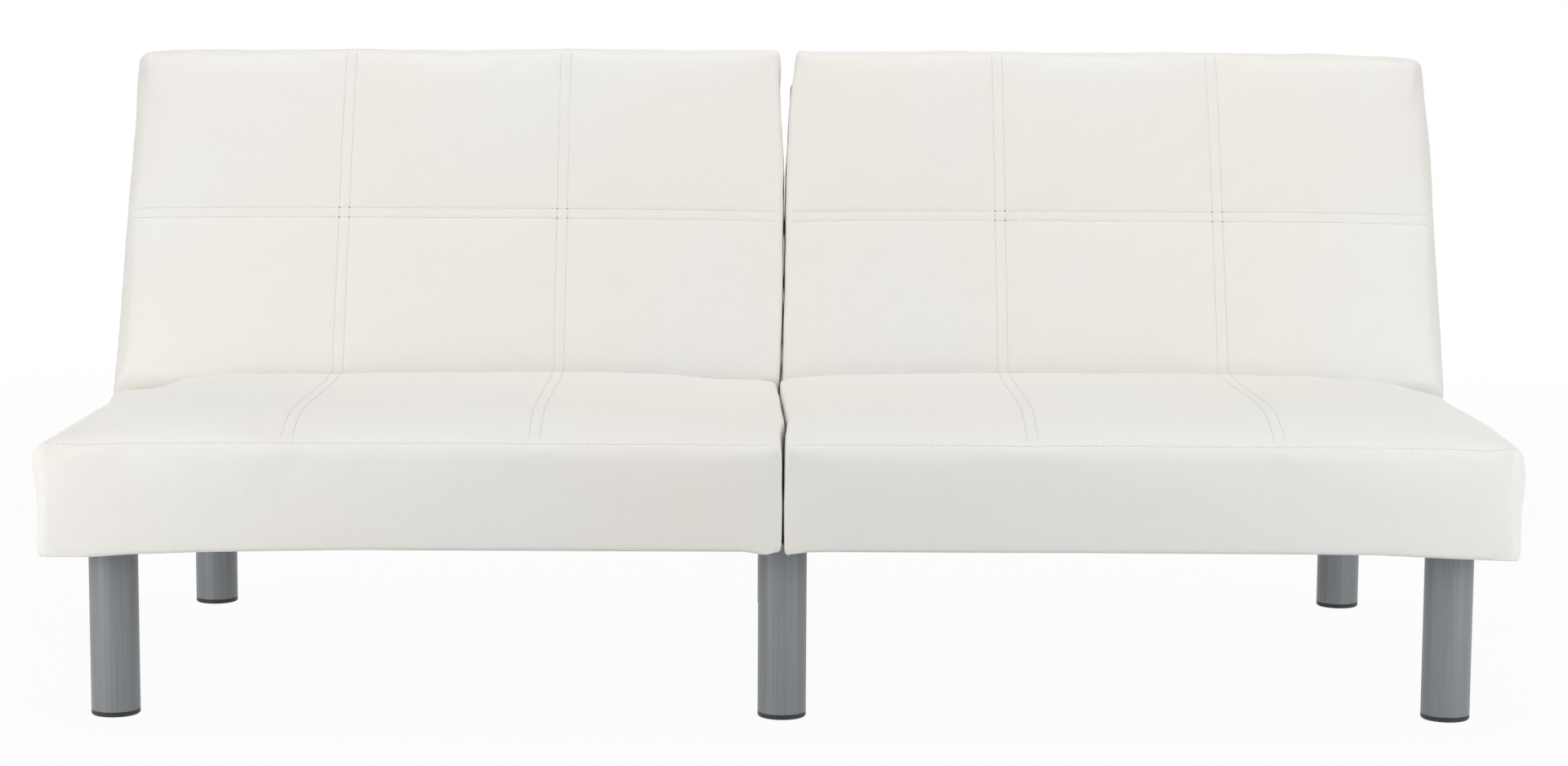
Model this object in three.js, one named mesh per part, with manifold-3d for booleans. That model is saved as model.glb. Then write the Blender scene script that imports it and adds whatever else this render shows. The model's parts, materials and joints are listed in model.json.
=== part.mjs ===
// Click clack sofa bed: two seats and two folding backs on one bolted steel frame with six round legs.
// Millimetres. x runs along the sofa, y from the seat's front face to the rear, z up from the floor.
// The group at the end moves the origin to the middle of the sofa's footprint.
import * as THREE from 'three';
import { mergeVertices } from 'three/addons/utils/BufferGeometryUtils.js';
import Module from 'manifold-3d';

const wasm = await Module();
wasm.setup();

// Overall sizes
const WIDTH = 1800;
const SPLIT_GAP = 4;
const SEAT_DEPTH = 505;
const SEAT_UNDERSIDE = 217;
const CREASE_HEIGHT = 355;
const FRONT_EDGE_DROP = 9;
const BACK_LENGTH = 501;
const BACK_THICKNESS = 104;
const BACK_SPREAD = 8;
const RECLINE_DEG = 23.6;
const PIVOT_DROP = 98;

// Cushions
const CROWN = 7;
const EDGE_RADIUS = 17;
const COVER_WALL = 5;
const STITCH_SPACING = 14;
const STITCH_SHOULDER = 9;
const STITCH_DEPTH = 3;
const MITRE_GAP = 3;
const MITRE_LIMIT = 30;
const BOARD_THICKNESS = 12;
const APRON_THICKNESS = 18;
const SEAT_CLOTH_THICKNESS = 1;
const BACK_CLOTH_THICKNESS = 1.5;
const STITCH_LINES_PER_HALF = 2;
const BACK_CROSS_STITCH_SHARE = 0.5;

// Steel frame
const RAIL_WIDTH = 40;
const RAIL_HEIGHT = 25;
const RAIL_WALL = 2;
const RAIL_UNDERSIDE = 220;
const SIDE_RAIL_INSET = 76;
const RAIL_PAST_LEG = 30;
const SEAT_RAIL_TO_HINGE = 16;
const REST_PAD_LENGTH = 300;
const REST_PAD_WIDTH = 24;

// Legs
const LEG_DIAMETER = 60;
const LEG_WALL = 2;
const FRONT_LEG_Y = 85;
const REAR_LEG_Y = 843;
const LEG_PLATE_THICKNESS = 5;
const STUD_DIAMETER = 10;
const STUD_LENGTH = 12;
const FOOT_HEIGHT = 6;
const FOOT_BEVEL = 1.5;
const FOOT_PLUG_HEIGHT = 16;
const FOOT_PLUG_WALL = 2.5;

// Hinges
const PLATE_THICKNESS = 4;
const HUB_RADIUS = 20;
const NOTCH_DEPTH = 3.5;
const NOTCH_WIDTH = 3;
const RATCHET_STEPS = 6;
const PIN_DIAMETER = 10;
const PIN_HEAD_DIAMETER = 18;
const PIN_HEAD_THICKNESS = 3;
const ARM_BAR_WIDTH = 23;
const ARM_REACH = 150;
const ARM_FLANGE_WIDTH = 25;
const ARM_FLANGE_THICKNESS = 3;
const ARM_FLANGE_SETBACK = 20;
const BASE_LEAF_FRONT = 28;
const BASE_LEAF_REAR = 71;
const BASE_LEAF_DROP = 54;
const BASE_LEAF_BOSS_RADIUS = 18;
const PAWL_AHEAD = 19;
const PAWL_BELOW = 29;
const PAWL_EYE_RADIUS = 7;
const PAWL_STUD_DIAMETER = 6;
const PAWL_STUD_HEAD = 2;
const PAWL_STUD_HEAD_DIAMETER = 10;
const PAWL_NOSE_PAST_PIN = 4;
const PAWL_NOSE_THICKNESS = 8;
const PAWL_TIP_CLEARANCE = 0.9;
const PAWL_FACE_CLEARANCE = 0.6;
const LEDGE_THICKNESS = 3;
const LEDGE_LENGTH = 22;
const SPRING_DIAMETER = 6;
const SPRING_WIRE = 1.2;
const SPRING_BEHIND_PAWL_PIVOT = 15;

// Fits between neighbours
const CLEARANCE = 0.3;
const SOFT_CLEARANCE = 0.5;
const LEG_HOLE_CLEARANCE = 1;
const SLOT_CLEARANCE = 1;
const OVERRUN = 10;

// Counts
const ROUND_SIDES = 28;
const SMALL_ROUND_SIDES = 16;
const PLATE_CURVE_STEPS = 8;
const PATCHES_BETWEEN_STITCHES = 2;
const LINING_PATCHES = 5;
const SPRING_TURNS = 4;
const STEPS_PER_TURN = 8;
const WIRE_SIDES = 5;

// Sizes worked out from the ones above
const HALF_WIDTH = (WIDTH - SPLIT_GAP) / 2;
const HALF_CENTRE_X = (WIDTH + SPLIT_GAP) / 4;
const SEAT_THICKNESS = CREASE_HEIGHT - SEAT_UNDERSIDE;
const RAIL_TOP = RAIL_UNDERSIDE + RAIL_HEIGHT;
const SIDE_RAIL_X = WIDTH / 2 - SIDE_RAIL_INSET;
const LEG_RADIUS = LEG_DIAMETER / 2;
const LEG_TOP = RAIL_UNDERSIDE - CLEARANCE;
const SEAT_BOARD_UNDERSIDE = RAIL_TOP + CLEARANCE;
const BACK_CLOTH_DEPTH = BACK_THICKNESS - BACK_CLOTH_THICKNESS;
const BACK_BOARD_DEPTH = BACK_CLOTH_DEPTH - CLEARANCE - BOARD_THICKNESS;
const INNER_WALL = COVER_WALL + SOFT_CLEARANCE;
const OVERALL_DEPTH = REAR_LEG_Y + RAIL_PAST_LEG;
const FOLD = THREE.MathUtils.degToRad(90 - RECLINE_DEG);
const HALF_FOLD_TAN = Math.tan(FOLD / 2);
const PIVOT_BEHIND_CREASE = PIVOT_DROP * HALF_FOLD_TAN;
const PIVOT_Y = SEAT_DEPTH + PIVOT_BEHIND_CREASE;
const PIVOT_Z = CREASE_HEIGHT - PIVOT_DROP;
const SEAT_RAIL_Y = PIVOT_Y - BASE_LEAF_FRONT - SEAT_RAIL_TO_HINGE - RAIL_WIDTH / 2;
const ARC_STATION_SHARE = 1 - Math.tan(Math.PI / 8);

// Finishes
const finish = (name, color, roughness, metalness) =>
  new THREE.MeshStandardMaterial({ name, color, roughness, metalness });
const LEATHERETTE = finish('leatherette', 0xece9e2, 0.45, 0);
const FOAM = finish('foam', 0xe9e2c4, 0.95, 0);
const BLACK_CLOTH = finish('black_cloth', 0x1d1d1f, 0.95, 0);
const PLYWOOD = finish('plywood', 0xc8a878, 0.7, 0);
const BLACK_STEEL = finish('black_steel', 0x1b1c1e, 0.5, 0.6);
const ZINC_STEEL = finish('zinc_steel', 0xa9abad, 0.4, 0.9);
const SATIN_STEEL = finish('satin_steel', 0xa3a4a7, 0.32, 1);
const BLACK_PLASTIC = finish('black_plastic', 0x17181a, 0.6, 0);
const BLACK_RUBBER = finish('black_rubber', 0x202022, 0.85, 0);

// Turns a closed geometry into a solid that can be cut and joined.
function solid(geometry) {
  const bare = geometry.clone();
  bare.deleteAttribute('normal');
  bare.deleteAttribute('uv');
  const merged = mergeVertices(bare);
  const mesh = new wasm.Mesh({
    numProp: 3,
    vertProperties: new Float32Array(merged.attributes.position.array),
    triVerts: new Uint32Array(merged.index.array),
  });
  return new wasm.Manifold(mesh);
}

// Turns a cut or joined solid back into a geometry.
function geometryOf(manifold) {
  const mesh = manifold.getMesh();
  const geometry = new THREE.BufferGeometry();
  geometry.setAttribute('position', new THREE.BufferAttribute(new Float32Array(mesh.vertProperties), 3));
  geometry.setIndex(new THREE.BufferAttribute(new Uint32Array(mesh.triVerts), 1));
  geometry.computeVertexNormals();
  return geometry;
}

function piece(name, geometry, material) {
  const mesh = new THREE.Mesh(geometry, material);
  mesh.name = name;
  return mesh;
}

// A box from its low corner to its high corner.
function boxBetween(low, high) {
  const size = high.map((value, axis) => value - low[axis]);
  const box = new THREE.BoxGeometry(...size);
  box.translate(...low.map((value, axis) => value + size[axis] / 2));
  return box;
}

// Two places on one axis, the lower first.
function span(a, b) {
  return [Math.min(a, b), Math.max(a, b)];
}

// A round bar along x from one x to the other.
function barAlongX(radius, from, to, y, z, sides) {
  const bar = new THREE.CylinderGeometry(radius, radius, to - from, sides);
  bar.rotateZ(Math.PI / 2);
  bar.translate((from + to) / 2, y, z);
  return bar;
}

// A plate in the yz plane, cut from an outline drawn with y across and z up, from one x to the other.
function plateAlongX(outline, from, to) {
  const settings = { depth: to - from, bevelEnabled: false, curveSegments: PLATE_CURVE_STEPS };
  const plate = new THREE.ExtrudeGeometry(outline, settings);
  plate.rotateX(Math.PI / 2);
  plate.rotateZ(Math.PI / 2);
  plate.translate(from, 0, 0);
  return plate;
}

function roundHole(y, z, radius) {
  const hole = new THREE.Path();
  hole.absarc(y, z, radius, 0, Math.PI * 2, true);
  return hole;
}

// Grid lines across a cushion: three in each rounded edge, four at each double row of stitches.
function stitchedStations(length, stitches) {
  const edge = [0, EDGE_RADIUS * ARC_STATION_SHARE, EDGE_RADIUS];
  const row = STITCH_SPACING / 2;
  const shoulder = row + STITCH_SHOULDER;
  const rows = stitches.map((at) => [at - shoulder, at - row, at + row, at + shoulder]);
  const blocks = [edge, ...rows, edge.map((value) => length - value).reverse()];
  return joinBlocks(blocks, PATCHES_BETWEEN_STITCHES);
}

// Grid lines across a lining or a foam block: two in each rounded edge and a few between.
function plainStations(length) {
  return joinBlocks([[0, EDGE_RADIUS], [length - EDGE_RADIUS, length]], LINING_PATCHES);
}

function joinBlocks(blocks, patches) {
  const stations = [...blocks[0]];
  for (const block of blocks.slice(1)) {
    const start = stations[stations.length - 1];
    for (let i = 1; i < patches; i++) {
      stations.push(THREE.MathUtils.lerp(start, block[0], i / patches));
    }
    stations.push(...block);
  }
  return stations;
}

// How far a double row of stitches draws the surface in at a distance from its middle.
function stitchPull(distance) {
  const beyond = Math.abs(distance) - STITCH_SPACING / 2;
  return STITCH_DEPTH * THREE.MathUtils.clamp(1 - beyond / STITCH_SHOULDER, 0, 1);
}

// One cushion lying flat, face up: x across, y from the crease to the far end, z = 0 at the flat face.
// Below flatDepth nothing bulges. inset draws every wall in, for the lining and the foam.
// spread leans the side at the split away from it, more towards the far end.
function cushion({ length, flatDepth, crossStitches, farDrop, spread, splitSide, inset, stitched, bottom }) {
  const width = HALF_WIDTH - 2 * inset;
  const creaseInset = MITRE_GAP / 2 + inset;
  const run = length - creaseInset - inset;
  const third = HALF_WIDTH / (STITCH_LINES_PER_HALF + 1);
  const lines = Array.from({ length: STITCH_LINES_PER_HALF }, (_, i) => (i + 1) * third);
  const across = stitched ? stitchedStations(width, lines) : plainStations(width);
  const along = stitched ? stitchedStations(run, crossStitches) : plainStations(run);
  const mitreDepth = MITRE_LIMIT / HALF_FOLD_TAN;
  const edge = stitched ? [EDGE_RADIUS * ARC_STATION_SHARE] : [];
  const down = [0, ...edge, EDGE_RADIUS, mitreDepth - inset, bottom - inset].reverse();
  const box = new THREE.BoxGeometry(1, 1, 1, across.length - 1, along.length - 1, down.length - 1);
  box.deleteAttribute('normal');
  box.deleteAttribute('uv');
  const geometry = mergeVertices(box);
  const position = geometry.attributes.position;
  const point = new THREE.Vector3();
  const core = new THREE.Vector3();
  const pick = (stations, unit) => stations[Math.round((unit + 0.5) * (stations.length - 1))];
  for (let i = 0; i < position.count; i++) {
    point.set(pick(across, position.getX(i)), pick(along, position.getY(i)), -pick(down, position.getZ(i)));
    core.copy(point);
    core.x = THREE.MathUtils.clamp(point.x, EDGE_RADIUS, width - EDGE_RADIUS);
    core.y = THREE.MathUtils.clamp(point.y, EDGE_RADIUS, run - EDGE_RADIUS);
    core.z = Math.min(point.z, -EDGE_RADIUS);
    const out = point.sub(core);
    if (out.lengthSq() > 0) out.setLength(EDGE_RADIUS);
    point.addVectors(core, out);
    // From here x and y are measured on the whole cushion, and depth from its flat face.
    const x = point.x + inset - HALF_WIDTH / 2;
    const y = point.y + creaseInset;
    const depth = inset - point.z;
    const surface = THREE.MathUtils.clamp(1 - depth / flatDepth, 0, 1);
    const crownAcross = 1 - (2 * x / HALF_WIDTH) ** 4;
    const crownAlong = 1 - (2 * y / length - 1) ** 4;
    let rise = CROWN * crownAcross * crownAlong - farDrop * (y / length);
    if (stitched && depth < EDGE_RADIUS / 2) rise -= stitchesAt(x, y, lines, crossStitches, length);
    const lean = spread * Math.max(0, y / length) ** 2 * (0.5 + splitSide * x / HALF_WIDTH);
    const mitre = Math.min(depth * HALF_FOLD_TAN, MITRE_LIMIT) * (1 - point.y / run);
    position.setXYZ(i, x - splitSide * lean, y - mitre, rise * surface - depth);
  }
  return geometry;
}

// The pull of every row of stitches at one place on a cushion's face. Rows stop short of the edges.
function stitchesAt(x, y, lines, crossStitches, length) {
  const short = 2 * EDGE_RADIUS;
  const inAcross = Math.abs(x) < HALF_WIDTH / 2 - short;
  const inAlong = y > short && y < length - short;
  const pulls = [0];
  for (const line of lines) {
    if (inAlong) pulls.push(stitchPull(x + HALF_WIDTH / 2 - line));
  }
  for (const line of crossStitches) {
    if (inAcross) pulls.push(stitchPull(y - line));
  }
  return Math.max(...pulls);
}

// The cover is open below, so the frame's board and foam fit inside.
function coverGeometry(spec) {
  const outer = solid(cushion({ ...spec, inset: 0, stitched: true, bottom: spec.thickness }));
  const lining = solid(cushion({ ...spec, inset: COVER_WALL, stitched: false, bottom: spec.thickness + OVERRUN }));
  return outer.subtract(lining);
}

function foamGeometry(spec) {
  return cushion({ ...spec, inset: INNER_WALL, stitched: false, bottom: spec.flatDepth });
}

// The room inside a cover, open below, which trims the board and the cloth to the cover's round corners.
function coverRoom(spec) {
  return cushion({ ...spec, inset: INNER_WALL, stitched: false, bottom: spec.thickness + OVERRUN });
}

const SEAT_SPEC = {
  thickness: SEAT_THICKNESS,
  length: SEAT_DEPTH,
  flatDepth: CREASE_HEIGHT - SEAT_BOARD_UNDERSIDE - BOARD_THICKNESS - CLEARANCE,
  crossStitches: [],
  farDrop: FRONT_EDGE_DROP,
  spread: 0,
};
const BACK_SPEC = {
  thickness: BACK_THICKNESS,
  length: BACK_LENGTH,
  flatDepth: BACK_BOARD_DEPTH - CLEARANCE,
  crossStitches: [BACK_LENGTH * BACK_CROSS_STITCH_SHARE],
  farDrop: 0,
  spread: BACK_SPREAD,
};

// The seat cushions lie with their far end to the front, so they are turned half round.
function placeSeat(geometry, side) {
  geometry.rotateZ(Math.PI);
  geometry.translate(side * HALF_CENTRE_X, SEAT_DEPTH, CREASE_HEIGHT);
  return geometry;
}

// A slot for a rail, open below, cut through whatever the rail passes.
function railSlot(x) {
  const reach = RAIL_WIDTH / 2 + SLOT_CLEARANCE;
  const front = FRONT_LEG_Y - RAIL_PAST_LEG - SLOT_CLEARANCE;
  return solid(boxBetween(
    [x - reach, front, SEAT_UNDERSIDE - OVERRUN],
    [x + reach, OVERALL_DEPTH, RAIL_TOP + SLOT_CLEARANCE],
  ));
}

function seatCover(side, name) {
  const spec = { ...SEAT_SPEC, splitSide: side };
  const cover = solid(placeSeat(geometryOf(coverGeometry(spec)), side));
  const cut = cover.subtract(railSlot(0)).subtract(railSlot(side * SIDE_RAIL_X));
  return piece(name, geometryOf(cut), LEATHERETTE);
}

function seatFoam(side, name) {
  return piece(name, placeSeat(foamGeometry({ ...SEAT_SPEC, splitSide: side }), side), FOAM);
}

// The seat board has an apron down its front and its outer end, which the cover is stapled to.
function seatBoard(side, name) {
  const outer = WIDTH / 2;
  const rear = SEAT_DEPTH + MITRE_LIMIT;
  const top = SEAT_BOARD_UNDERSIDE + BOARD_THICKNESS;
  const apronFoot = SEAT_UNDERSIDE + SOFT_CLEARANCE + SEAT_CLOTH_THICKNESS + CLEARANCE;
  const apron = INNER_WALL + APRON_THICKNESS;
  const between = (near, far, depth, low) => {
    const xs = span(side * near, side * far);
    return solid(boxBetween([xs[0], 0, low], [xs[1], depth, top]));
  };
  const board = between(0, outer, rear, SEAT_BOARD_UNDERSIDE);
  const front = between(0, outer, apron, apronFoot);
  const end = between(outer - apron, outer, rear, apronFoot);
  const room = solid(placeSeat(coverRoom({ ...SEAT_SPEC, splitSide: side }), side));
  return piece(name, geometryOf(board.add(front).add(end).intersect(room)), PLYWOOD);
}

// Black cloth closes the seat below, with a round hole for the outer leg and a notch for the middle one.
function seatCloth(side, name) {
  const low = SEAT_UNDERSIDE + SOFT_CLEARANCE;
  const high = low + SEAT_CLOTH_THICKNESS;
  const rear = SEAT_DEPTH + MITRE_LIMIT;
  const xs = span(0, side * WIDTH / 2);
  const holeRadius = LEG_RADIUS + LEG_HOLE_CLEARANCE;
  const room = solid(placeSeat(coverRoom({ ...SEAT_SPEC, splitSide: side }), side));
  let cloth = solid(boxBetween([xs[0], 0, low], [xs[1], rear, high])).intersect(room);
  for (const x of [0, side * SIDE_RAIL_X]) {
    const hole = new THREE.CylinderGeometry(holeRadius, holeRadius, 2 * OVERRUN, ROUND_SIDES);
    hole.rotateX(Math.PI / 2);
    hole.translate(x, FRONT_LEG_Y, low);
    cloth = cloth.subtract(solid(hole));
  }
  return piece(name, geometryOf(cloth), BLACK_CLOTH);
}

// Everything in a back is drawn lying flat at the crease and leaned up with this group.
function backGroup(side) {
  const group = new THREE.Group();
  group.position.set(side * HALF_CENTRE_X, SEAT_DEPTH, CREASE_HEIGHT);
  group.rotation.x = FOLD;
  return group;
}

// A panel in a back, across the whole room inside its cover.
function backPanel(spec, name, top, thickness, material) {
  const reach = HALF_WIDTH / 2;
  const sheet = solid(boxBetween([-reach, -MITRE_LIMIT, -top - thickness], [reach, BACK_LENGTH, -top]));
  return piece(name, geometryOf(sheet.intersect(solid(coverRoom(spec)))), material);
}

function backParts(side, label) {
  const spec = { ...BACK_SPEC, splitSide: -side };
  const group = backGroup(side);
  group.add(
    piece(`back_cover_${label}`, geometryOf(coverGeometry(spec)), LEATHERETTE),
    piece(`back_foam_${label}`, foamGeometry(spec), FOAM),
    backPanel(spec, `back_board_${label}`, BACK_BOARD_DEPTH, BOARD_THICKNESS, PLYWOOD),
    backPanel(spec, `back_rear_cloth_${label}`, BACK_CLOTH_DEPTH, BACK_CLOTH_THICKNESS, BLACK_CLOTH),
  );
  return group;
}

// A rectangular steel tube along y, with holes below for the legs' studs.
function lengthRail(x, name) {
  const rear = REAR_LEG_Y + RAIL_PAST_LEG;
  const front = FRONT_LEG_Y - RAIL_PAST_LEG;
  const half = RAIL_WIDTH / 2;
  let rail = solid(boxBetween([x - half, front, RAIL_UNDERSIDE], [x + half, rear, RAIL_TOP]));
  rail = rail.subtract(solid(boxBetween(
    [x - half + RAIL_WALL, front - OVERRUN, RAIL_UNDERSIDE + RAIL_WALL],
    [x + half - RAIL_WALL, rear + OVERRUN, RAIL_TOP - RAIL_WALL],
  )));
  for (const y of [FRONT_LEG_Y, REAR_LEG_Y]) {
    const radius = STUD_DIAMETER / 2 + CLEARANCE;
    const hole = new THREE.CylinderGeometry(radius, radius, 2 * RAIL_WALL, SMALL_ROUND_SIDES);
    hole.rotateX(Math.PI / 2);
    hole.translate(x, y, RAIL_UNDERSIDE + RAIL_WALL / 2);
    rail = rail.subtract(solid(hole));
  }
  return piece(name, geometryOf(rail), BLACK_STEEL);
}

// A rectangular steel tube along x between a side rail and the middle rail.
function crossRail(side, y, name) {
  const inner = RAIL_WIDTH / 2 + CLEARANCE;
  const outer = SIDE_RAIL_X - RAIL_WIDTH / 2 - CLEARANCE;
  const xs = span(side * inner, side * outer);
  const half = RAIL_WIDTH / 2;
  const tube = solid(boxBetween([xs[0], y - half, RAIL_UNDERSIDE], [xs[1], y + half, RAIL_TOP]));
  const bore = solid(boxBetween(
    [xs[0] - OVERRUN, y - half + RAIL_WALL, RAIL_UNDERSIDE + RAIL_WALL],
    [xs[1] + OVERRUN, y + half - RAIL_WALL, RAIL_TOP - RAIL_WALL],
  ));
  return piece(name, geometryOf(tube.subtract(bore)), BLACK_STEEL);
}

// A rubber strip on the rear rail, which the back lies on when it is folded flat.
function restPad(side, name) {
  const x = side * HALF_CENTRE_X;
  const top = CREASE_HEIGHT - BACK_THICKNESS - CLEARANCE;
  return piece(name, boxBetween(
    [x - REST_PAD_LENGTH / 2, REAR_LEG_Y - REST_PAD_WIDTH / 2, RAIL_TOP + CLEARANCE],
    [x + REST_PAD_LENGTH / 2, REAR_LEG_Y + REST_PAD_WIDTH / 2, top],
  ), BLACK_RUBBER);
}

function turned(points, sides) {
  const profile = points.map(([radius, height]) => new THREE.Vector2(radius, height));
  const geometry = new THREE.LatheGeometry(profile, sides);
  geometry.rotateX(Math.PI / 2);
  return geometry;
}

// A leg is a round tube with a plate and a threaded stud in its top.
function leg(x, y, name) {
  const bore = LEG_RADIUS - LEG_WALL;
  const stud = STUD_DIAMETER / 2;
  const foot = FOOT_HEIGHT + CLEARANCE;
  const mesh = piece(name, turned([
    [0, LEG_TOP - LEG_PLATE_THICKNESS],
    [bore, LEG_TOP - LEG_PLATE_THICKNESS],
    [bore, foot],
    [LEG_RADIUS, foot],
    [LEG_RADIUS, LEG_TOP],
    [stud, LEG_TOP],
    [stud, LEG_TOP + STUD_LENGTH],
    [0, LEG_TOP + STUD_LENGTH],
  ], ROUND_SIDES), SATIN_STEEL);
  mesh.position.set(x, y, 0);
  return mesh;
}

// A foot is a plastic cap with a hollow plug that fills the leg's tube.
function foot(x, y, name) {
  const plug = LEG_RADIUS - LEG_WALL - CLEARANCE;
  const mesh = piece(name, turned([
    [0, 0],
    [LEG_RADIUS - FOOT_BEVEL, 0],
    [LEG_RADIUS, FOOT_BEVEL],
    [LEG_RADIUS, FOOT_HEIGHT],
    [plug, FOOT_HEIGHT],
    [plug, FOOT_HEIGHT + FOOT_PLUG_HEIGHT],
    [plug - FOOT_PLUG_WALL, FOOT_HEIGHT + FOOT_PLUG_HEIGHT],
    [plug - FOOT_PLUG_WALL, FOOT_HEIGHT],
    [0, FOOT_HEIGHT],
  ], ROUND_SIDES), BLACK_PLASTIC);
  mesh.position.set(x, y, 0);
  return mesh;
}

// A hinge sits against a rail's side face. into is +1 or -1, the way it stacks away from the rail along x.
function layer(face, into, start, thickness) {
  return span(face + into * start, face + into * (start + thickness));
}

const LEAF_START = CLEARANCE;
const ARM_START = LEAF_START + PLATE_THICKNESS + CLEARANCE;
const ARM_END = ARM_START + PLATE_THICKNESS;
const PAWL_Y = PIVOT_Y - PAWL_AHEAD;
const PAWL_Z = PIVOT_Z - PAWL_BELOW;
const LEDGE_TOP = PIVOT_Z - BASE_LEAF_DROP + LEDGE_THICKNESS;
const SPRING_Y = PAWL_Y + SPRING_BEHIND_PAWL_PIVOT;
const PAWL_NOSE_UNDERSIDE = PAWL_Z - PAWL_EYE_RADIUS / 2;

// The leaf bolted to the rail carries the hinge pin, the pawl's stud and a ledge for the pawl's spring.
function baseLeaf(face, into, name) {
  const outline = new THREE.Shape();
  const low = PIVOT_Z - BASE_LEAF_DROP;
  outline.moveTo(PIVOT_Y - BASE_LEAF_FRONT, low);
  outline.lineTo(SPRING_Y + LEDGE_LENGTH / 2, low);
  outline.lineTo(PIVOT_Y + BASE_LEAF_REAR, RAIL_UNDERSIDE);
  outline.lineTo(PIVOT_Y + BASE_LEAF_REAR, RAIL_TOP);
  outline.lineTo(PIVOT_Y + BASE_LEAF_BOSS_RADIUS, RAIL_TOP);
  outline.lineTo(PIVOT_Y + BASE_LEAF_BOSS_RADIUS, PIVOT_Z);
  outline.absarc(PIVOT_Y, PIVOT_Z, BASE_LEAF_BOSS_RADIUS, 0, Math.PI, false);
  outline.lineTo(PIVOT_Y - BASE_LEAF_FRONT, RAIL_TOP);
  outline.closePath();
  outline.holes.push(roundHole(PIVOT_Y, PIVOT_Z, PIN_DIAMETER / 2 + CLEARANCE));
  const plate = solid(plateAlongX(outline, ...layer(face, into, LEAF_START, PLATE_THICKNESS)));
  const studRun = LEAF_START + PLATE_THICKNESS / 2;
  const studEnd = ARM_END + CLEARANCE + PAWL_STUD_HEAD;
  const stud = solid(barAlongX(
    PAWL_STUD_DIAMETER / 2, ...layer(face, into, studRun, studEnd - studRun), PAWL_Y, PAWL_Z, SMALL_ROUND_SIDES,
  ));
  const head = solid(barAlongX(
    PAWL_STUD_HEAD_DIAMETER / 2, ...layer(face, into, ARM_END + CLEARANCE, PAWL_STUD_HEAD),
    PAWL_Y, PAWL_Z, SMALL_ROUND_SIDES,
  ));
  const ledgeX = layer(face, into, LEAF_START, ARM_END + SPRING_DIAMETER / 2);
  const ledge = solid(boxBetween(
    [ledgeX[0], SPRING_Y - LEDGE_LENGTH / 2, low],
    [ledgeX[1], SPRING_Y + LEDGE_LENGTH / 2, LEDGE_TOP],
  ));
  return piece(name, geometryOf(plate.add(stud).add(head).add(ledge)), ZINC_STEEL);
}

function hingePin(face, into, name) {
  const shank = PIN_DIAMETER / 2;
  const head = PIN_HEAD_DIAMETER / 2;
  const start = LEAF_START - CLEARANCE;
  const length = ARM_END + CLEARANCE - start;
  const pin = turned([
    [0, -PIN_HEAD_THICKNESS],
    [head, -PIN_HEAD_THICKNESS],
    [head, 0],
    [shank, 0],
    [shank, length],
    [head, length],
    [head, length + PIN_HEAD_THICKNESS],
    [0, length + PIN_HEAD_THICKNESS],
  ], SMALL_ROUND_SIDES);
  pin.rotateY(into * Math.PI / 2);
  const mesh = piece(name, pin, ZINC_STEEL);
  mesh.position.set(face + into * start, PIVOT_Y, PIVOT_Z);
  return mesh;
}

// The angle of one ratchet step, and the direction from the pin down to the pawl's nose.
const RATCHET_PITCH = FOLD / RATCHET_STEPS;
const NOSE_ANGLE = Math.asin(PAWL_NOSE_PAST_PIN / HUB_RADIUS) - Math.PI / 2;

// The arm's hub is drawn around the pin, in the flat back's own directions, with a notch for each position.
function ratchetOutline() {
  const outline = new THREE.Shape();
  const half = Math.atan2(NOTCH_WIDTH / 2, HUB_RADIUS);
  const root = HUB_RADIUS - NOTCH_DEPTH;
  // When the back is up its hub is turned by the fold, so the first notch lies back by that much.
  const first = NOSE_ANGLE - FOLD;
  const polar = (radius, angle) => [radius * Math.cos(angle), radius * Math.sin(angle)];
  outline.moveTo(...polar(HUB_RADIUS, first - RATCHET_PITCH / 2));
  for (let i = 0; i <= RATCHET_STEPS; i++) {
    const middle = first + i * RATCHET_PITCH;
    outline.lineTo(...polar(HUB_RADIUS, middle - half));
    outline.lineTo(...polar(root, middle));
    outline.lineTo(...polar(HUB_RADIUS, middle + half));
  }
  const last = first + RATCHET_STEPS * RATCHET_PITCH + half;
  outline.absarc(0, 0, HUB_RADIUS, last, first - RATCHET_PITCH / 2 + 2 * Math.PI, false);
  outline.closePath();
  outline.holes.push(roundHole(0, 0, PIN_DIAMETER / 2 + CLEARANCE));
  return outline;
}

// The arm runs from the hub along the back's rear face and is screwed to the board through its flange.
function hingeArm(side, face, into, name) {
  const xs = layer(face - side * HALF_CENTRE_X, into, ARM_START, PLATE_THICKNESS);
  const hub = plateAlongX(ratchetOutline(), ...xs);
  hub.translate(0, -PIVOT_BEHIND_CREASE, -PIVOT_DROP);
  const barTop = -(BACK_THICKNESS + CLEARANCE);
  const bar = boxBetween(
    [xs[0], -PIVOT_BEHIND_CREASE + PIN_DIAMETER, barTop - ARM_BAR_WIDTH],
    [xs[1], ARM_REACH, barTop],
  );
  const flangeX = layer(face - side * HALF_CENTRE_X, into, ARM_START, ARM_FLANGE_WIDTH);
  const flange = boxBetween(
    [flangeX[0], ARM_FLANGE_SETBACK - MITRE_LIMIT, barTop - ARM_FLANGE_THICKNESS],
    [flangeX[1], ARM_REACH, barTop],
  );
  const arm = solid(hub).add(solid(bar)).add(solid(flange));
  return piece(name, geometryOf(arm), ZINC_STEEL);
}

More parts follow.
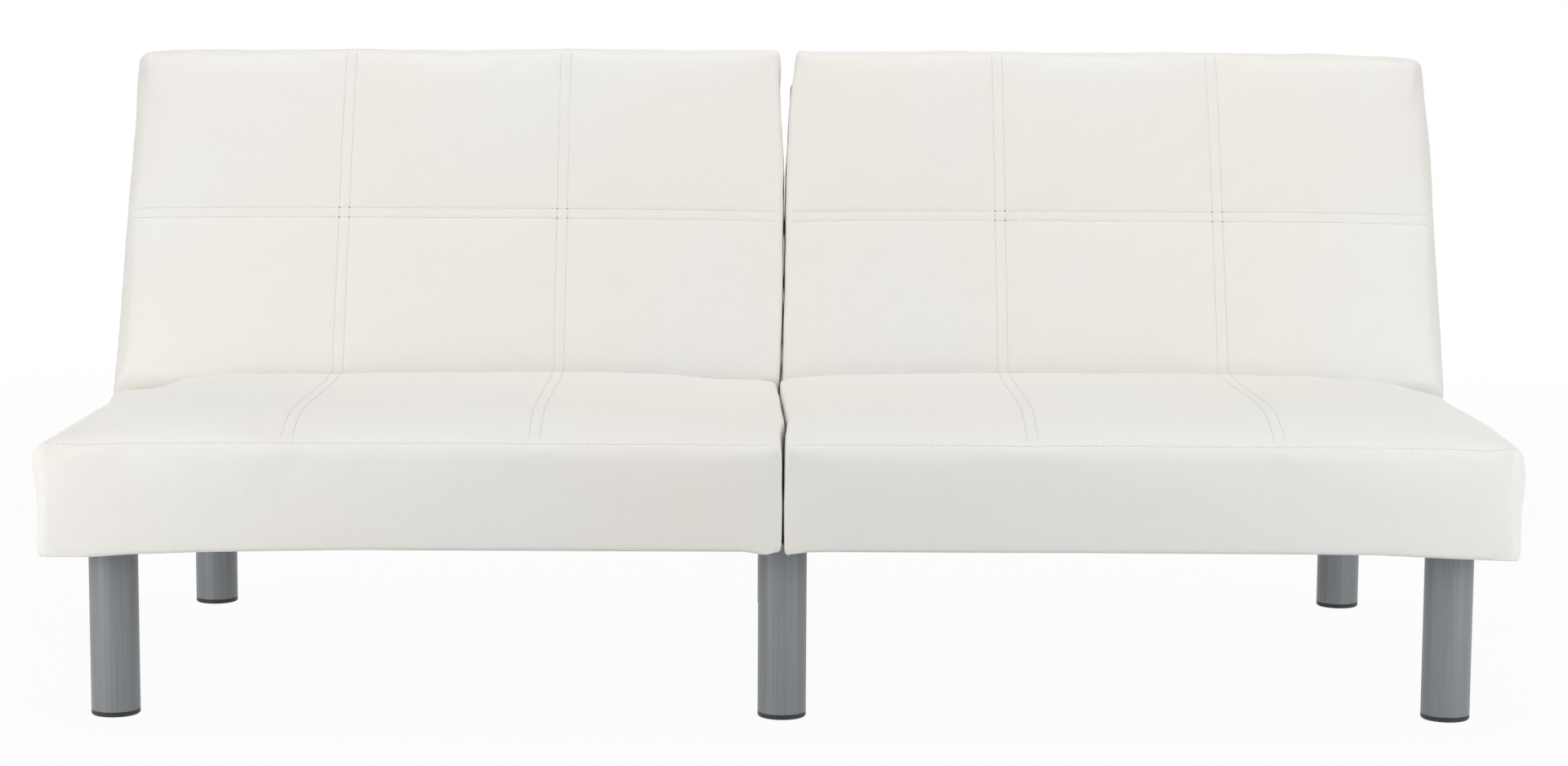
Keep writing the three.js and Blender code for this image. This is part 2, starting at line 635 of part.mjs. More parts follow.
// The pawl turns on its stud, and its nose stands in a notch of the hub.
function pawl(face, into, name) {
  const noseY = PIVOT_Y + HUB_RADIUS * Math.cos(NOSE_ANGLE);
  const noseZ = PIVOT_Z + HUB_RADIUS * Math.sin(NOSE_ANGLE);
  const inward = new THREE.Vector2(-Math.cos(NOSE_ANGLE), -Math.sin(NOSE_ANGLE));
  const along = new THREE.Vector2(-inward.y, inward.x);
  const tip = NOTCH_DEPTH - PAWL_TIP_CLEARANCE;
  const half = NOTCH_WIDTH / 2 * (tip / NOTCH_DEPTH);
  const start = -PAWL_FACE_CLEARANCE;
  const at = (a, b) => [noseY + along.x * a + inward.x * b, noseZ + along.y * a + inward.y * b];
  const outline = new THREE.Shape();
  outline.moveTo(PAWL_Y, PAWL_Z - PAWL_EYE_RADIUS);
  outline.lineTo(noseY + PAWL_NOSE_THICKNESS / 2, PAWL_NOSE_UNDERSIDE);
  outline.lineTo(...at(-PAWL_NOSE_THICKNESS / 2, start));
  outline.lineTo(...at(-half, start));
  outline.lineTo(...at(0, tip));
  outline.lineTo(...at(half, start));
  outline.lineTo(...at(PAWL_NOSE_THICKNESS / 2, start));
  outline.lineTo(PAWL_Y, PAWL_Z + PAWL_EYE_RADIUS);
  outline.absarc(PAWL_Y, PAWL_Z, PAWL_EYE_RADIUS, Math.PI / 2, Math.PI * 3 / 2, false);
  outline.holes.push(roundHole(PAWL_Y, PAWL_Z, PAWL_STUD_DIAMETER / 2 + CLEARANCE));
  return piece(name, plateAlongX(outline, ...layer(face, into, ARM_START, PLATE_THICKNESS)), ZINC_STEEL);
}

class Helix extends THREE.Curve {
  constructor(radius, height, turns) {
    super();
    this.radius = radius;
    this.height = height;
    this.turns = turns;
  }

  getPoint(t) {
    const angle = 2 * Math.PI * this.turns * t;
    return new THREE.Vector3(this.radius * Math.cos(angle), this.radius * Math.sin(angle), this.height * t);
  }
}

// A coil spring stands on the leaf's ledge and pushes the pawl's nose up into the hub.
function pawlSpring(face, into, name) {
  const wire = SPRING_WIRE / 2;
  const low = LEDGE_TOP + CLEARANCE + wire;
  const high = PAWL_NOSE_UNDERSIDE - CLEARANCE - wire - PAWL_EYE_RADIUS / 2;
  const section = new THREE.Shape();
  for (let i = 0; i < WIRE_SIDES; i++) {
    const angle = 2 * Math.PI * i / WIRE_SIDES;
    const point = [wire * Math.cos(angle), wire * Math.sin(angle)];
    if (i === 0) section.moveTo(...point);
    else section.lineTo(...point);
  }
  section.closePath();
  const path = new Helix(SPRING_DIAMETER / 2 - wire, high - low, SPRING_TURNS);
  const coil = new THREE.ExtrudeGeometry(section, { steps: SPRING_TURNS * STEPS_PER_TURN, extrudePath: path });
  const mesh = piece(name, coil, ZINC_STEEL);
  mesh.position.set(face + into * (ARM_START + SPRING_DIAMETER / 2), SPRING_Y, low);
  return mesh;
}

function build() {
  const sofa = new THREE.Group();
  sofa.position.y = -OVERALL_DEPTH / 2;
  const sides = { left: -1, right: 1 };
  const places = { left: -SIDE_RAIL_X, middle: 0, right: SIDE_RAIL_X };
  for (const [label, x] of Object.entries(places)) {
    sofa.add(lengthRail(x, `long_rail_${label}`));
    for (const [end, y] of [['front', FRONT_LEG_Y], ['rear', REAR_LEG_Y]]) {
      sofa.add(leg(x, y, `leg_${end}_${label}`), foot(x, y, `foot_${end}_${label}`));
    }
  }
  for (const [label, side] of Object.entries(sides)) {
    sofa.add(
      crossRail(side, FRONT_LEG_Y, `front_rail_${label}`),
      crossRail(side, SEAT_RAIL_Y, `seat_rail_${label}`),
      crossRail(side, REAR_LEG_Y, `rear_rail_${label}`),
      restPad(side, `rest_pad_${label}`),
      seatBoard(side, `seat_board_${label}`),
      seatFoam(side, `seat_foam_${label}`),
      seatCover(side, `seat_cover_${label}`),
      seatCloth(side, `seat_dust_cloth_${label}`),
    );
    const back = backParts(side, label);
    const hinges = [
      ['outer', side * (SIDE_RAIL_X - RAIL_WIDTH / 2), -side],
      ['inner', side * RAIL_WIDTH / 2, side],
    ];
    for (const [place, face, into] of hinges) {
      const tag = `${label}_${place}`;
      sofa.add(
        baseLeaf(face, into, `hinge_leaf_${tag}`),
        hingePin(face, into, `hinge_pin_${tag}`),
        pawl(face, into, `pawl_${tag}`),
        pawlSpring(face, into, `pawl_spring_${tag}`),
      );
      back.add(hingeArm(side, face, into, `hinge_arm_${tag}`));
    }
    sofa.add(back);
  }
  return sofa;
}

export default build();
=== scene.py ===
"""Click clack sofa bed: two mattress halves, each folding at its crease, on a bolted steel frame.

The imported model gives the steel, the boards and the joints. This script dresses it: it models the
padded halves with their stitching, the cloths behind and below, and the small hardware, and it
gives every surface its finish. Metres, x along the sofa, y to the rear, z up from the floor.
"""

import json
import logging
import math
from dataclasses import dataclass, field
from enum import Enum
from typing import Callable, Iterable, Sequence

import bpy
import numpy as np
from mathutils import Matrix, Vector
from mathutils.bvhtree import BVHTree


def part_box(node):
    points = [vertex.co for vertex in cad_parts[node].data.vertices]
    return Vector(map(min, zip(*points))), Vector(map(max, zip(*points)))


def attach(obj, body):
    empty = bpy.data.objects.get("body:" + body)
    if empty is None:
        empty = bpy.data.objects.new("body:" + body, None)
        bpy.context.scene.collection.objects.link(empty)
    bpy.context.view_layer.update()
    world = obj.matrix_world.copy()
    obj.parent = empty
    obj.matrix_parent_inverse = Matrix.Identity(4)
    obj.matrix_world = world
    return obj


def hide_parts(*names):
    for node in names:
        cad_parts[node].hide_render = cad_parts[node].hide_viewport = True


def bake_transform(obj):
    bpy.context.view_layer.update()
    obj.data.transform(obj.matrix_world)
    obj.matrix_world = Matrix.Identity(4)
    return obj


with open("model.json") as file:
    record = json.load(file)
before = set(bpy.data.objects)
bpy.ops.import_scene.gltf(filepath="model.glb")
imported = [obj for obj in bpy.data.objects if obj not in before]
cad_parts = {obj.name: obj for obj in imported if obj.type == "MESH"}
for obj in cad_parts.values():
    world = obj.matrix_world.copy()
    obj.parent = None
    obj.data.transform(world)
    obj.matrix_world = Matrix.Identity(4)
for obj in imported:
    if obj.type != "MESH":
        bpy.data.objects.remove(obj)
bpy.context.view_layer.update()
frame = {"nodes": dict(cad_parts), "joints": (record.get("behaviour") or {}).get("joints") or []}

LOG = logging.getLogger("sofa")

Color = tuple[float, float, float, float]
Array = np.ndarray
Piece = bpy.types.Object
Material = bpy.types.Material

TINY = 1e-9  # keeps a division by a length away from zero


class Side(Enum):
    """One half of the sofa, seen from the front."""

    LEFT = "left"
    RIGHT = "right"

    @property
    def sign(self) -> int:
        """The sign of x on this half."""
        return -1 if self is Side.LEFT else 1


# Shader maths


def operator(operation: str, swapped: bool = False) -> Callable[["Signal", "Signal | float"], "Signal"]:
    """Makes a method that joins a signal and another value by one Math node, in either order."""

    def join(self: "Signal", other: "Signal | float") -> "Signal":
        """Adds the Math node."""
        pair = (other, self) if swapped else (self, other)
        return self.nodes.add("ShaderNodeMath", {"operation": operation}, dict(enumerate(pair)))

    return join


class Signal:
    """An output socket that can be used in Python expressions, each of which adds a Math node."""

    def __init__(self, nodes: "Nodes", socket: bpy.types.NodeSocket) -> None:
        """Wraps a socket of a node tree."""
        self.nodes = nodes
        self.socket = socket

    __add__ = __radd__ = operator("ADD")
    __mul__ = __rmul__ = operator("MULTIPLY")
    __sub__ = operator("SUBTRACT")
    __rsub__ = operator("SUBTRACT", swapped=True)

    def eased(self, low: float, high: float) -> "Signal":
        """Rises smoothly from 0 at low to 1 at high."""
        values = {"Value": self, "From Min": low, "From Max": high}
        return self.nodes.add("ShaderNodeMapRange", {"interpolation_type": "SMOOTHSTEP"}, values)


class Nodes:
    """A node tree that grows by expressions."""

    def __init__(self, tree: bpy.types.NodeTree) -> None:
        """Takes the tree to add to."""
        self.tree = tree

    def add(
        self,
        kind: str,
        settings: dict[str, object] | None = None,
        values: dict[str | int, object] | None = None,
        output: str | int = 0,
    ) -> Signal:
        """Adds one node.

        Args:
            kind: the node's type.
            settings: attributes to set first.
            values: numbers, colours or signals for the node's inputs, by name or index.
            output: the output to give back, by name or index.

        Returns:
            The chosen output as a signal.
        """
        node = self.tree.nodes.new(kind)
        for name, value in (settings or {}).items():
            setattr(node, name, value)
        for key, value in (values or {}).items():
            self.feed(node.inputs[key], value)
        return Signal(self, node.outputs[output])

    def feed(self, socket: bpy.types.NodeSocket, value: object) -> None:
        """Links a signal to a socket, or writes a plain value on it."""
        if isinstance(value, Signal):
            self.tree.links.new(value.socket, socket)
        else:
            socket.default_value = value

    def seen(self) -> Signal:
        """Gives 1 on rays from the camera, and on those that are mirrored or go through."""
        kinds = ("Camera", "Glossy", "Transmission")
        first, *others = (self.add("ShaderNodeLightPath", output=f"Is {kind} Ray") for kind in kinds)
        return sum(others, first)


class NodeBook(Nodes):
    """A new material and its node tree."""

    def __init__(self, name: str) -> None:
        """Makes the material with its Principled shader."""
        self.material = bpy.data.materials.new(name)
        self.material.use_nodes = True
        super().__init__(self.material.node_tree)
        self.shader = self.tree.nodes["Principled BSDF"]

    def surface(self, **values: object) -> Material:
        """Sets inputs of the Principled shader, with underscores for spaces, and gives the material."""
        for name, value in values.items():
            self.feed(self.shader.inputs[name.replace("_", " ")], value)
        return self.material

    def place(self, scale: Sequence[float] = (1, 1, 1)) -> Signal:
        """The place on the object, in metres, stretched by scale."""
        where = self.add("ShaderNodeTexCoord", output="Object")
        return self.add("ShaderNodeMapping", None, {"Vector": where, "Scale": scale})

    def noise(self, where: Signal, scale: float, detail: float = 3, roughness: float = 0.5) -> Signal:
        """Soft noise around one half."""
        values = {"Vector": where, "Scale": scale, "Detail": detail, "Roughness": roughness}
        return self.add("ShaderNodeTexNoise", None, values)

    def cells(self, where: Signal, scale: float, feature: str = "DISTANCE_TO_EDGE") -> Signal:
        """The distances of a Voronoi pattern."""
        values = {"Vector": where, "Scale": scale}
        return self.add("ShaderNodeTexVoronoi", {"feature": feature}, values, "Distance")

    def waves(self, direction: str, scale: float, distortion: float = 0) -> Signal:
        """Straight bands."""
        values = {"Vector": self.place(), "Scale": scale, "Distortion": distortion}
        return self.add("ShaderNodeTexWave", {"bands_direction": direction}, values, "Fac")

    def blend(self, first: Color | Signal, second: Color, factor: Signal) -> Signal:
        """Mixes two colours."""
        return self.add("ShaderNodeMix", {"data_type": "RGBA"}, {0: factor, 6: first, 7: second}, 2)

    def relief(self, height: Signal, distance: float, strength: float, under: Signal | None = None) -> Signal:
        """A bump of a height pattern, with its full depth in metres, on top of another one."""
        values = {"Height": height, "Distance": distance, "Strength": strength}
        if under is not None:
            values["Normal"] = under
        return self.add("ShaderNodeBump", None, values)


def tint(red: float, green: float, blue: float) -> Color:
    """An opaque colour from its linear parts."""
    return (red, green, blue, 1.0)


# Finishes


@dataclass(frozen=True)
class Leatherette:
    """Off-white coated cloth with a fine pebbled grain and a soft sheen."""

    warm: Color = tint(0.86, 0.832, 0.785)
    cool: Color = tint(0.85, 0.84, 0.815)
    pit: Color = tint(0.74, 0.71, 0.655)
    grains_per_metre: float = 620
    grain_depth: float = 0.00009
    crinkle_depth: float = 0.0005

    def build(self) -> Material:
        """Makes the material."""
        book = NodeBook("leatherette")
        where = book.place()
        patches = book.noise(where, 2.2, 2).eased(0.35, 0.65)
        grain = book.cells(where, self.grains_per_metre)
        pores = book.noise(where, 2 * self.grains_per_metre, 2)
        crinkle = book.noise(where, 38, 4, 0.6)
        pits = (1 - grain.eased(0, 0.12)) * 0.28
        color = book.blend(book.blend(self.warm, self.cool, patches), self.pit, pits)
        fine = book.relief(grain.eased(0, 0.3) + pores * 0.25, self.grain_depth, 0.7)
        normal = book.relief(crinkle, self.crinkle_depth, 0.35, fine)
        rough = 0.44 + pores * 0.08 + crinkle * 0.08
        book.surface(Specular_IOR_Level=0.42, Coat_Weight=0.06, Coat_Roughness=0.35)
        return book.surface(Base_Color=color, Roughness=rough, Normal=normal)


@dataclass(frozen=True)
class Thread:
    """Twisted polyester sewing thread."""

    light: Color = tint(0.76, 0.745, 0.71)
    dark: Color = tint(0.5, 0.485, 0.45)

    def build(self) -> Material:
        """Makes the material."""
        book = NodeBook("thread")
        ply = book.waves("DIAGONAL", 700, 1.5)
        color = book.blend(self.dark, self.light, ply)
        return book.surface(Base_Color=color, Roughness=0.55, Normal=book.relief(ply, 0.0001, 0.6))


@dataclass(frozen=True)
class SatinSteel:
    """Silver-grey satin coating on the round legs."""

    base: Color = tint(0.215, 0.23, 0.24)
    worn: Color = tint(0.3, 0.31, 0.32)

    def build(self) -> Material:
        """Makes the material."""
        book = NodeBook("satin_steel")
        flake = book.noise(book.place(), 2600, 2)
        drawn = book.noise(book.place((1, 1, 0.02)), 420, 3)
        cloud = book.noise(book.place(), 9, 3)
        mask = (flake * 0.5 + drawn * 0.5).eased(0.42, 0.6)
        return book.surface(
            Base_Color=book.blend(self.base, self.worn, mask * 0.35),
            Metallic=0.3,
            Roughness=0.34 + cloud * 0.1 + flake * 0.05,
            Normal=book.relief(flake + drawn * 0.6, 0.00003, 0.6),
        )


@dataclass(frozen=True)
class ZincPlate:
    """Bright zinc plating on the hinges and bolts, with its faint crystal clouds."""

    bright: Color = tint(0.62, 0.62, 0.61)
    dull: Color = tint(0.4, 0.405, 0.415)

    def build(self) -> Material:
        """Makes the material."""
        book = NodeBook("zinc_plate")
        cloud = book.noise(book.place(), 55, 4)
        lay = book.noise(book.place((1, 0.05, 1)), 900, 2)
        return book.surface(
            Base_Color=book.blend(self.dull, self.bright, cloud.eased(0.35, 0.65)),
            Metallic=1.0,
            Roughness=0.26 + cloud * 0.2,
            Normal=book.relief(lay, 0.00004, 0.5),
        )


@dataclass(frozen=True)
class Plywood:
    """Poplar plywood with long grain."""

    early: Color = tint(0.62, 0.46, 0.28)
    late: Color = tint(0.42, 0.28, 0.15)

    def build(self) -> Material:
        """Makes the material."""
        book = NodeBook("plywood")
        grain = book.noise(book.place((0.08, 1, 1)), 90, 5, 0.6)
        return book.surface(
            Base_Color=book.blend(self.early, self.late, grain.eased(0.45, 0.7)),
            Roughness=0.62 + grain * 0.15,
            Normal=book.relief(grain, 0.0002, 0.5),
        )


@dataclass(frozen=True)
class BlackSkin:
    """A black surface, dusty or scuffed in soft clouds, with a fine texture in relief.

    The clouds hold their stretch on each axis, scale and detail, and then where they begin and are full.
    """

    name: str
    base: Color
    dust: Color
    clouds: tuple[Sequence[float], float, float, float, float]
    dust_share: float
    roughness: tuple[float, float]
    texture: Callable[[NodeBook], Signal]
    texture_depth: float
    strength: float = 0.6

    def build(self) -> Material:
        """Makes the material."""
        book = NodeBook(self.name)
        stretch, scale, detail, start, full = self.clouds
        cloud = book.noise(book.place(stretch), scale, detail).eased(start, full)
        smooth, rough = self.roughness
        return book.surface(
            Base_Color=book.blend(self.base, self.dust, cloud * self.dust_share),
            Roughness=smooth + cloud * rough,
            Normal=book.relief(self.texture(book), self.texture_depth, self.strength),
        )


POWDER_COAT = BlackSkin(
    "powder_coat", tint(0.016, 0.016, 0.018), tint(0.05, 0.05, 0.052), ((1, 1, 1), 14, 4, 0.5, 0.75), 0.4,
    (0.4, 0.18), lambda book: book.noise(book.place(), 900, 2), 0.00012, 0.7,
)
MOULDED_PLASTIC = BlackSkin(
    "moulded_plastic", tint(0.014, 0.014, 0.015), tint(0.045, 0.045, 0.046),
    ((1, 1, 0.2), 60, 4, 0.55, 0.72), 0.5, (0.46, 0.2), lambda book: book.noise(book.place(), 1800, 2), 0.00008,
)
RUBBER = BlackSkin(
    "rubber", tint(0.02, 0.02, 0.021), tint(0.06, 0.06, 0.06), ((1, 1, 1), 70, 4, 0.45, 0.7), 0.5,
    (0.75, 0.15), lambda book: book.waves("X", 120), 0.0003,
)


@dataclass(frozen=True)
class SpunCloth:
    """Black spun-bonded backing cloth, pressed with a grid of small dots."""

    base: Color = tint(0.02, 0.02, 0.022)
    fibre: Color = tint(0.075, 0.075, 0.08)
    dots_per_metre: float = 420

    def build(self) -> Material:
        """Makes the material."""
        book = NodeBook("spun_cloth")
        where = book.place()
        dots = book.cells(where, self.dots_per_metre, "F1").eased(0.1, 0.45)
        fibres = book.noise(book.place((1, 0.25, 0.25)), 1500, 3, 0.7)
        slack = book.noise(where, 16, 3)
        return book.surface(
            Base_Color=book.blend(self.base, self.fibre, fibres.eased(0.4, 0.7) * dots),
            Roughness=0.8 + fibres * 0.12,
            Normal=book.relief(dots + fibres * 0.4, 0.00018, 0.8, book.relief(slack, 0.002, 0.3)),
            Sheen_Weight=0.15,
        )


@dataclass(frozen=True)
class StudioPaper:
    """White floor that keeps a soft shadow and runs out into the white background."""

    paper: Color = tint(0.76, 0.76, 0.76)
    near: float = 1.6
    far: float = 4.5
    glow_near: float = 0.955

    def build(self) -> Material:
        """Makes the material."""
        book = NodeBook("studio_paper")
        where = book.add("ShaderNodeTexCoord", output="Object")
        away = book.add("ShaderNodeVectorMath", {"operation": "LENGTH"}, {0: where}, "Value")
        glow = self.glow_near + away.eased(self.near, self.far) * (1 - self.glow_near)
        grain = book.relief(book.noise(where, 400, 2), 0.0001, 0.3)
        book.surface(Base_Color=self.paper, Roughness=0.85, Normal=grain, Specular_IOR_Level=0.2)
        lit = book.add("ShaderNodeEmission", None, {"Color": tint(1, 1, 1), "Strength": 1.0})
        layers = {0: book.seen() * glow, 1: Signal(book, book.shader.outputs[0]), 2: lit}
        mixed = book.add("ShaderNodeMixShader", None, layers)
        book.feed(book.tree.nodes["Material Output"].inputs[0], mixed)
        return book.material


# Modelling


class Bench:
    """Small modelling steps with Blender's own tools."""

    @staticmethod
    def clear() -> None:
        """Deselects everything and leaves edit mode."""
        if bpy.context.object and bpy.context.object.mode != "OBJECT":
            bpy.ops.object.mode_set(mode="OBJECT")
        bpy.ops.object.select_all(action="DESELECT")

    @staticmethod
    def pick(piece: Piece) -> None:
        """Makes one object the only selected and active one."""
        Bench.clear()
        piece.select_set(True)
        bpy.context.view_layer.objects.active = piece

    @staticmethod
    def name(piece: Piece, name: str, finish: Material) -> Piece:
        """Names a piece and gives it its finish."""
        piece.name = name
        piece.data.name = name
        piece.data.materials.clear()
        piece.data.materials.append(finish)
        return piece

    @staticmethod
    def settle(piece: Piece) -> None:
        """Puts a piece's place into its mesh."""
        Bench.pick(piece)
        bpy.ops.object.transform_apply(location=True, rotation=True, scale=True)

    @staticmethod
    def modify(piece: Piece, kind: str, **settings: object) -> None:
        """Adds one modifier and applies it."""
        Bench.pick(piece)
        modifier = piece.modifiers.new(kind.title(), kind)
        for name, value in settings.items():
            setattr(modifier, name, value)
        bpy.ops.object.modifier_apply(modifier=modifier.name)

    @staticmethod
    def smooth(piece: Piece, degrees: float = 35) -> None:
        """Shades a piece smoothly except across sharp edges."""
        Bench.pick(piece)
        bpy.ops.object.shade_smooth_by_angle(angle=math.radians(degrees))

    @staticmethod
    def select_faces(piece: Piece, wanted: Callable[[bpy.types.MeshPolygon], bool]) -> None:
        """Enters edit mode with the faces selected that wanted accepts."""
        Bench.pick(piece)
        bpy.ops.object.mode_set(mode="EDIT")
        bpy.ops.mesh.select_mode(type="FACE")
        bpy.ops.mesh.select_all(action="DESELECT")
        bpy.ops.object.mode_set(mode="OBJECT")
        for polygon in piece.data.polygons:
            polygon.select = wanted(polygon)
        bpy.ops.object.mode_set(mode="EDIT")

    @staticmethod
    def leave_edit() -> None:
        """Leaves edit mode."""
        bpy.ops.object.mode_set(mode="OBJECT")

    @staticmethod
    def box(low: Sequence[float], high: Sequence[float], bevel: float, segments: int = 2) -> Piece:
        """A box between two corners with rounded edges."""
        Bench.clear()
        middle = [(a + b) / 2 for a, b in zip(low, high)]
        bpy.ops.mesh.primitive_cube_add(size=1, location=middle)
        box = bpy.context.object
        box.scale = [b - a for a, b in zip(low, high)]
        Bench.settle(box)
        Bench.modify(box, "BEVEL", width=bevel, segments=segments, limit_method="NONE")
        return box

    @staticmethod
    def lattice_box(counts: Sequence[int]) -> Piece:
        """A unit cube around the origin whose faces are grids, with counts grid lines on each axis."""
        Bench.clear()
        quarter = math.pi / 2
        turns = [
            ((0, 1), (0, 0, 0.5), (0, 0, 0)),
            ((0, 1), (0, 0, -0.5), (math.pi, 0, 0)),
            ((0, 2), (0, -0.5, 0), (quarter, 0, 0)),
            ((0, 2), (0, 0.5, 0), (-quarter, 0, 0)),
            ((2, 1), (0.5, 0, 0), (0, quarter, 0)),
            ((2, 1), (-0.5, 0, 0), (0, -quarter, 0)),
        ]
        faces = []
        for (across, along), location, rotation in turns:
            bpy.ops.mesh.primitive_grid_add(
                x_subdivisions=counts[across] - 1,
                y_subdivisions=counts[along] - 1,
                size=1,
                location=location,
                rotation=rotation,
            )
            faces.append(bpy.context.object)
        for face in faces:
            face.select_set(True)
        bpy.ops.object.join()
        box = bpy.context.object
        Bench.settle(box)
        bpy.ops.object.mode_set(mode="EDIT")
        bpy.ops.mesh.select_all(action="SELECT")
        bpy.ops.mesh.remove_doubles(threshold=1e-5)
        bpy.ops.mesh.normals_make_consistent(inside=False)
        bpy.ops.object.mode_set(mode="OBJECT")
        return box

    @staticmethod
    def rows(items: bpy.types.bpy_prop_collection, attribute: str) -> Array:
        """One vector of every item, as rows of x, y and z."""
        flat = np.empty(3 * len(items))
        items.foreach_get(attribute, flat)
        return flat.reshape(-1, 3)

    @staticmethod
    def points(piece: Piece) -> Array:
        """A mesh's vertices as rows of x, y and z."""
        return Bench.rows(piece.data.vertices, "co")

    @staticmethod
    def move(piece: Piece, points: Array) -> None:
        """Puts a mesh's vertices at new places."""
        piece.data.vertices.foreach_set("co", points.ravel())
        piece.data.update()

    @staticmethod
    def stand(origin: Vector, along: Vector, out: Vector) -> Matrix:
        """A place whose y lies along one way and whose z points out."""
        turn = Matrix((along.cross(out), along, out)).transposed().to_4x4()
        return Matrix.Translation(origin) @ turn

    @staticmethod
    def repeat(piece: Piece, places: Sequence[Matrix], name: str, finish: Material) -> Piece:
        """Copies one modelled piece to many places, as one mesh, and removes the first."""
        source = Bench.points(piece)
        faces = [tuple(polygon.vertices) for polygon in piece.data.polygons]
        turned = [source @ np.array(m.to_3x3()).T + np.array(m.translation) for m in places]
        shifted = [tuple(v + i * len(source) for v in face) for i in range(len(places)) for face in faces]
        mesh = bpy.data.meshes.new(name)
        mesh.from_pydata(np.vstack(turned).tolist(), [], shifted)
        mesh.polygons.foreach_set("use_smooth", [True] * len(mesh.polygons))
        copies = bpy.data.objects.new(name, mesh)
        bpy.context.collection.objects.link(copies)
        bpy.data.objects.remove(piece)
        return Bench.name(copies, name, finish)


def smoothstep(value: Array) -> Array:
    """Eases numbers from 0 to 1."""
    t = np.clip(value, 0, 1)
    return t * t * (3 - 2 * t)


def bell(distance: Array, reach: float) -> Array:
    """Falls smoothly from 1 at no distance to 0 at reach."""
    return 1 - smoothstep(np.abs(distance) / reach)


# The padded halves

STEPS_PER_KNOT = 20  # how finely a pull follows its line

@dataclass(frozen=True)
class Pull:
    """A grab of the cover along a line, as by hand.

    Each knot holds the distance from the split, the place along the pattern, the depth, and the move
    in millimetres.
    """

    way: tuple[float, float, float]
    reach: float
    knots: tuple[tuple[float, float, float, float], ...]
    depth_weight: float = 1.0

    def shift(self, pattern: Array) -> Array:
        """The move of every point of the pattern.

        Args:
            pattern: rows of distance from the split, place along the pattern and depth.

        Returns:
            The moves in metres: outwards from the split, to the rear and up.
        """
        scale = np.array([1, 1, self.depth_weight])
        knots = np.array(self.knots, dtype=float)
        steps = np.linspace(0, len(knots) - 1, STEPS_PER_KNOT * (len(knots) - 1) + 1)
        path = np.stack([np.interp(steps, range(len(knots)), column) for column in knots.T], -1)
        line, places = path[:, :3] * scale, pattern * scale
        near = np.all((places > line.min(0) - self.reach) & (places < line.max(0) + self.reach), axis=1)
        chosen = places[near]
        squares = (chosen**2).sum(1)[:, None] + (line**2).sum(1) - 2 * chosen @ line.T
        amounts = path[squares.argmin(1), 3] * bell(np.sqrt(np.maximum(squares.min(1), 0)), self.reach)
        moves = np.zeros_like(pattern)
        moves[near] = amounts[:, None] / 1000 * np.array(self.way)
        return moves


OUT, UP = (1, 0, 0), (0, 0, 1)


def level_line(height: float, depth: float, marks: Sequence[tuple[float, float]]) -> tuple:
    """Knots across the half at one place along the pattern: distance from the split and move."""
    return tuple((out, height, depth, move) for out, move in marks)


def long_line(out: float, depth: float, marks: Sequence[tuple[float, float]]) -> tuple:
    """Knots along the pattern at one distance from the split: place along the pattern and move."""
    return tuple((out, along, depth, move) for along, move in marks)


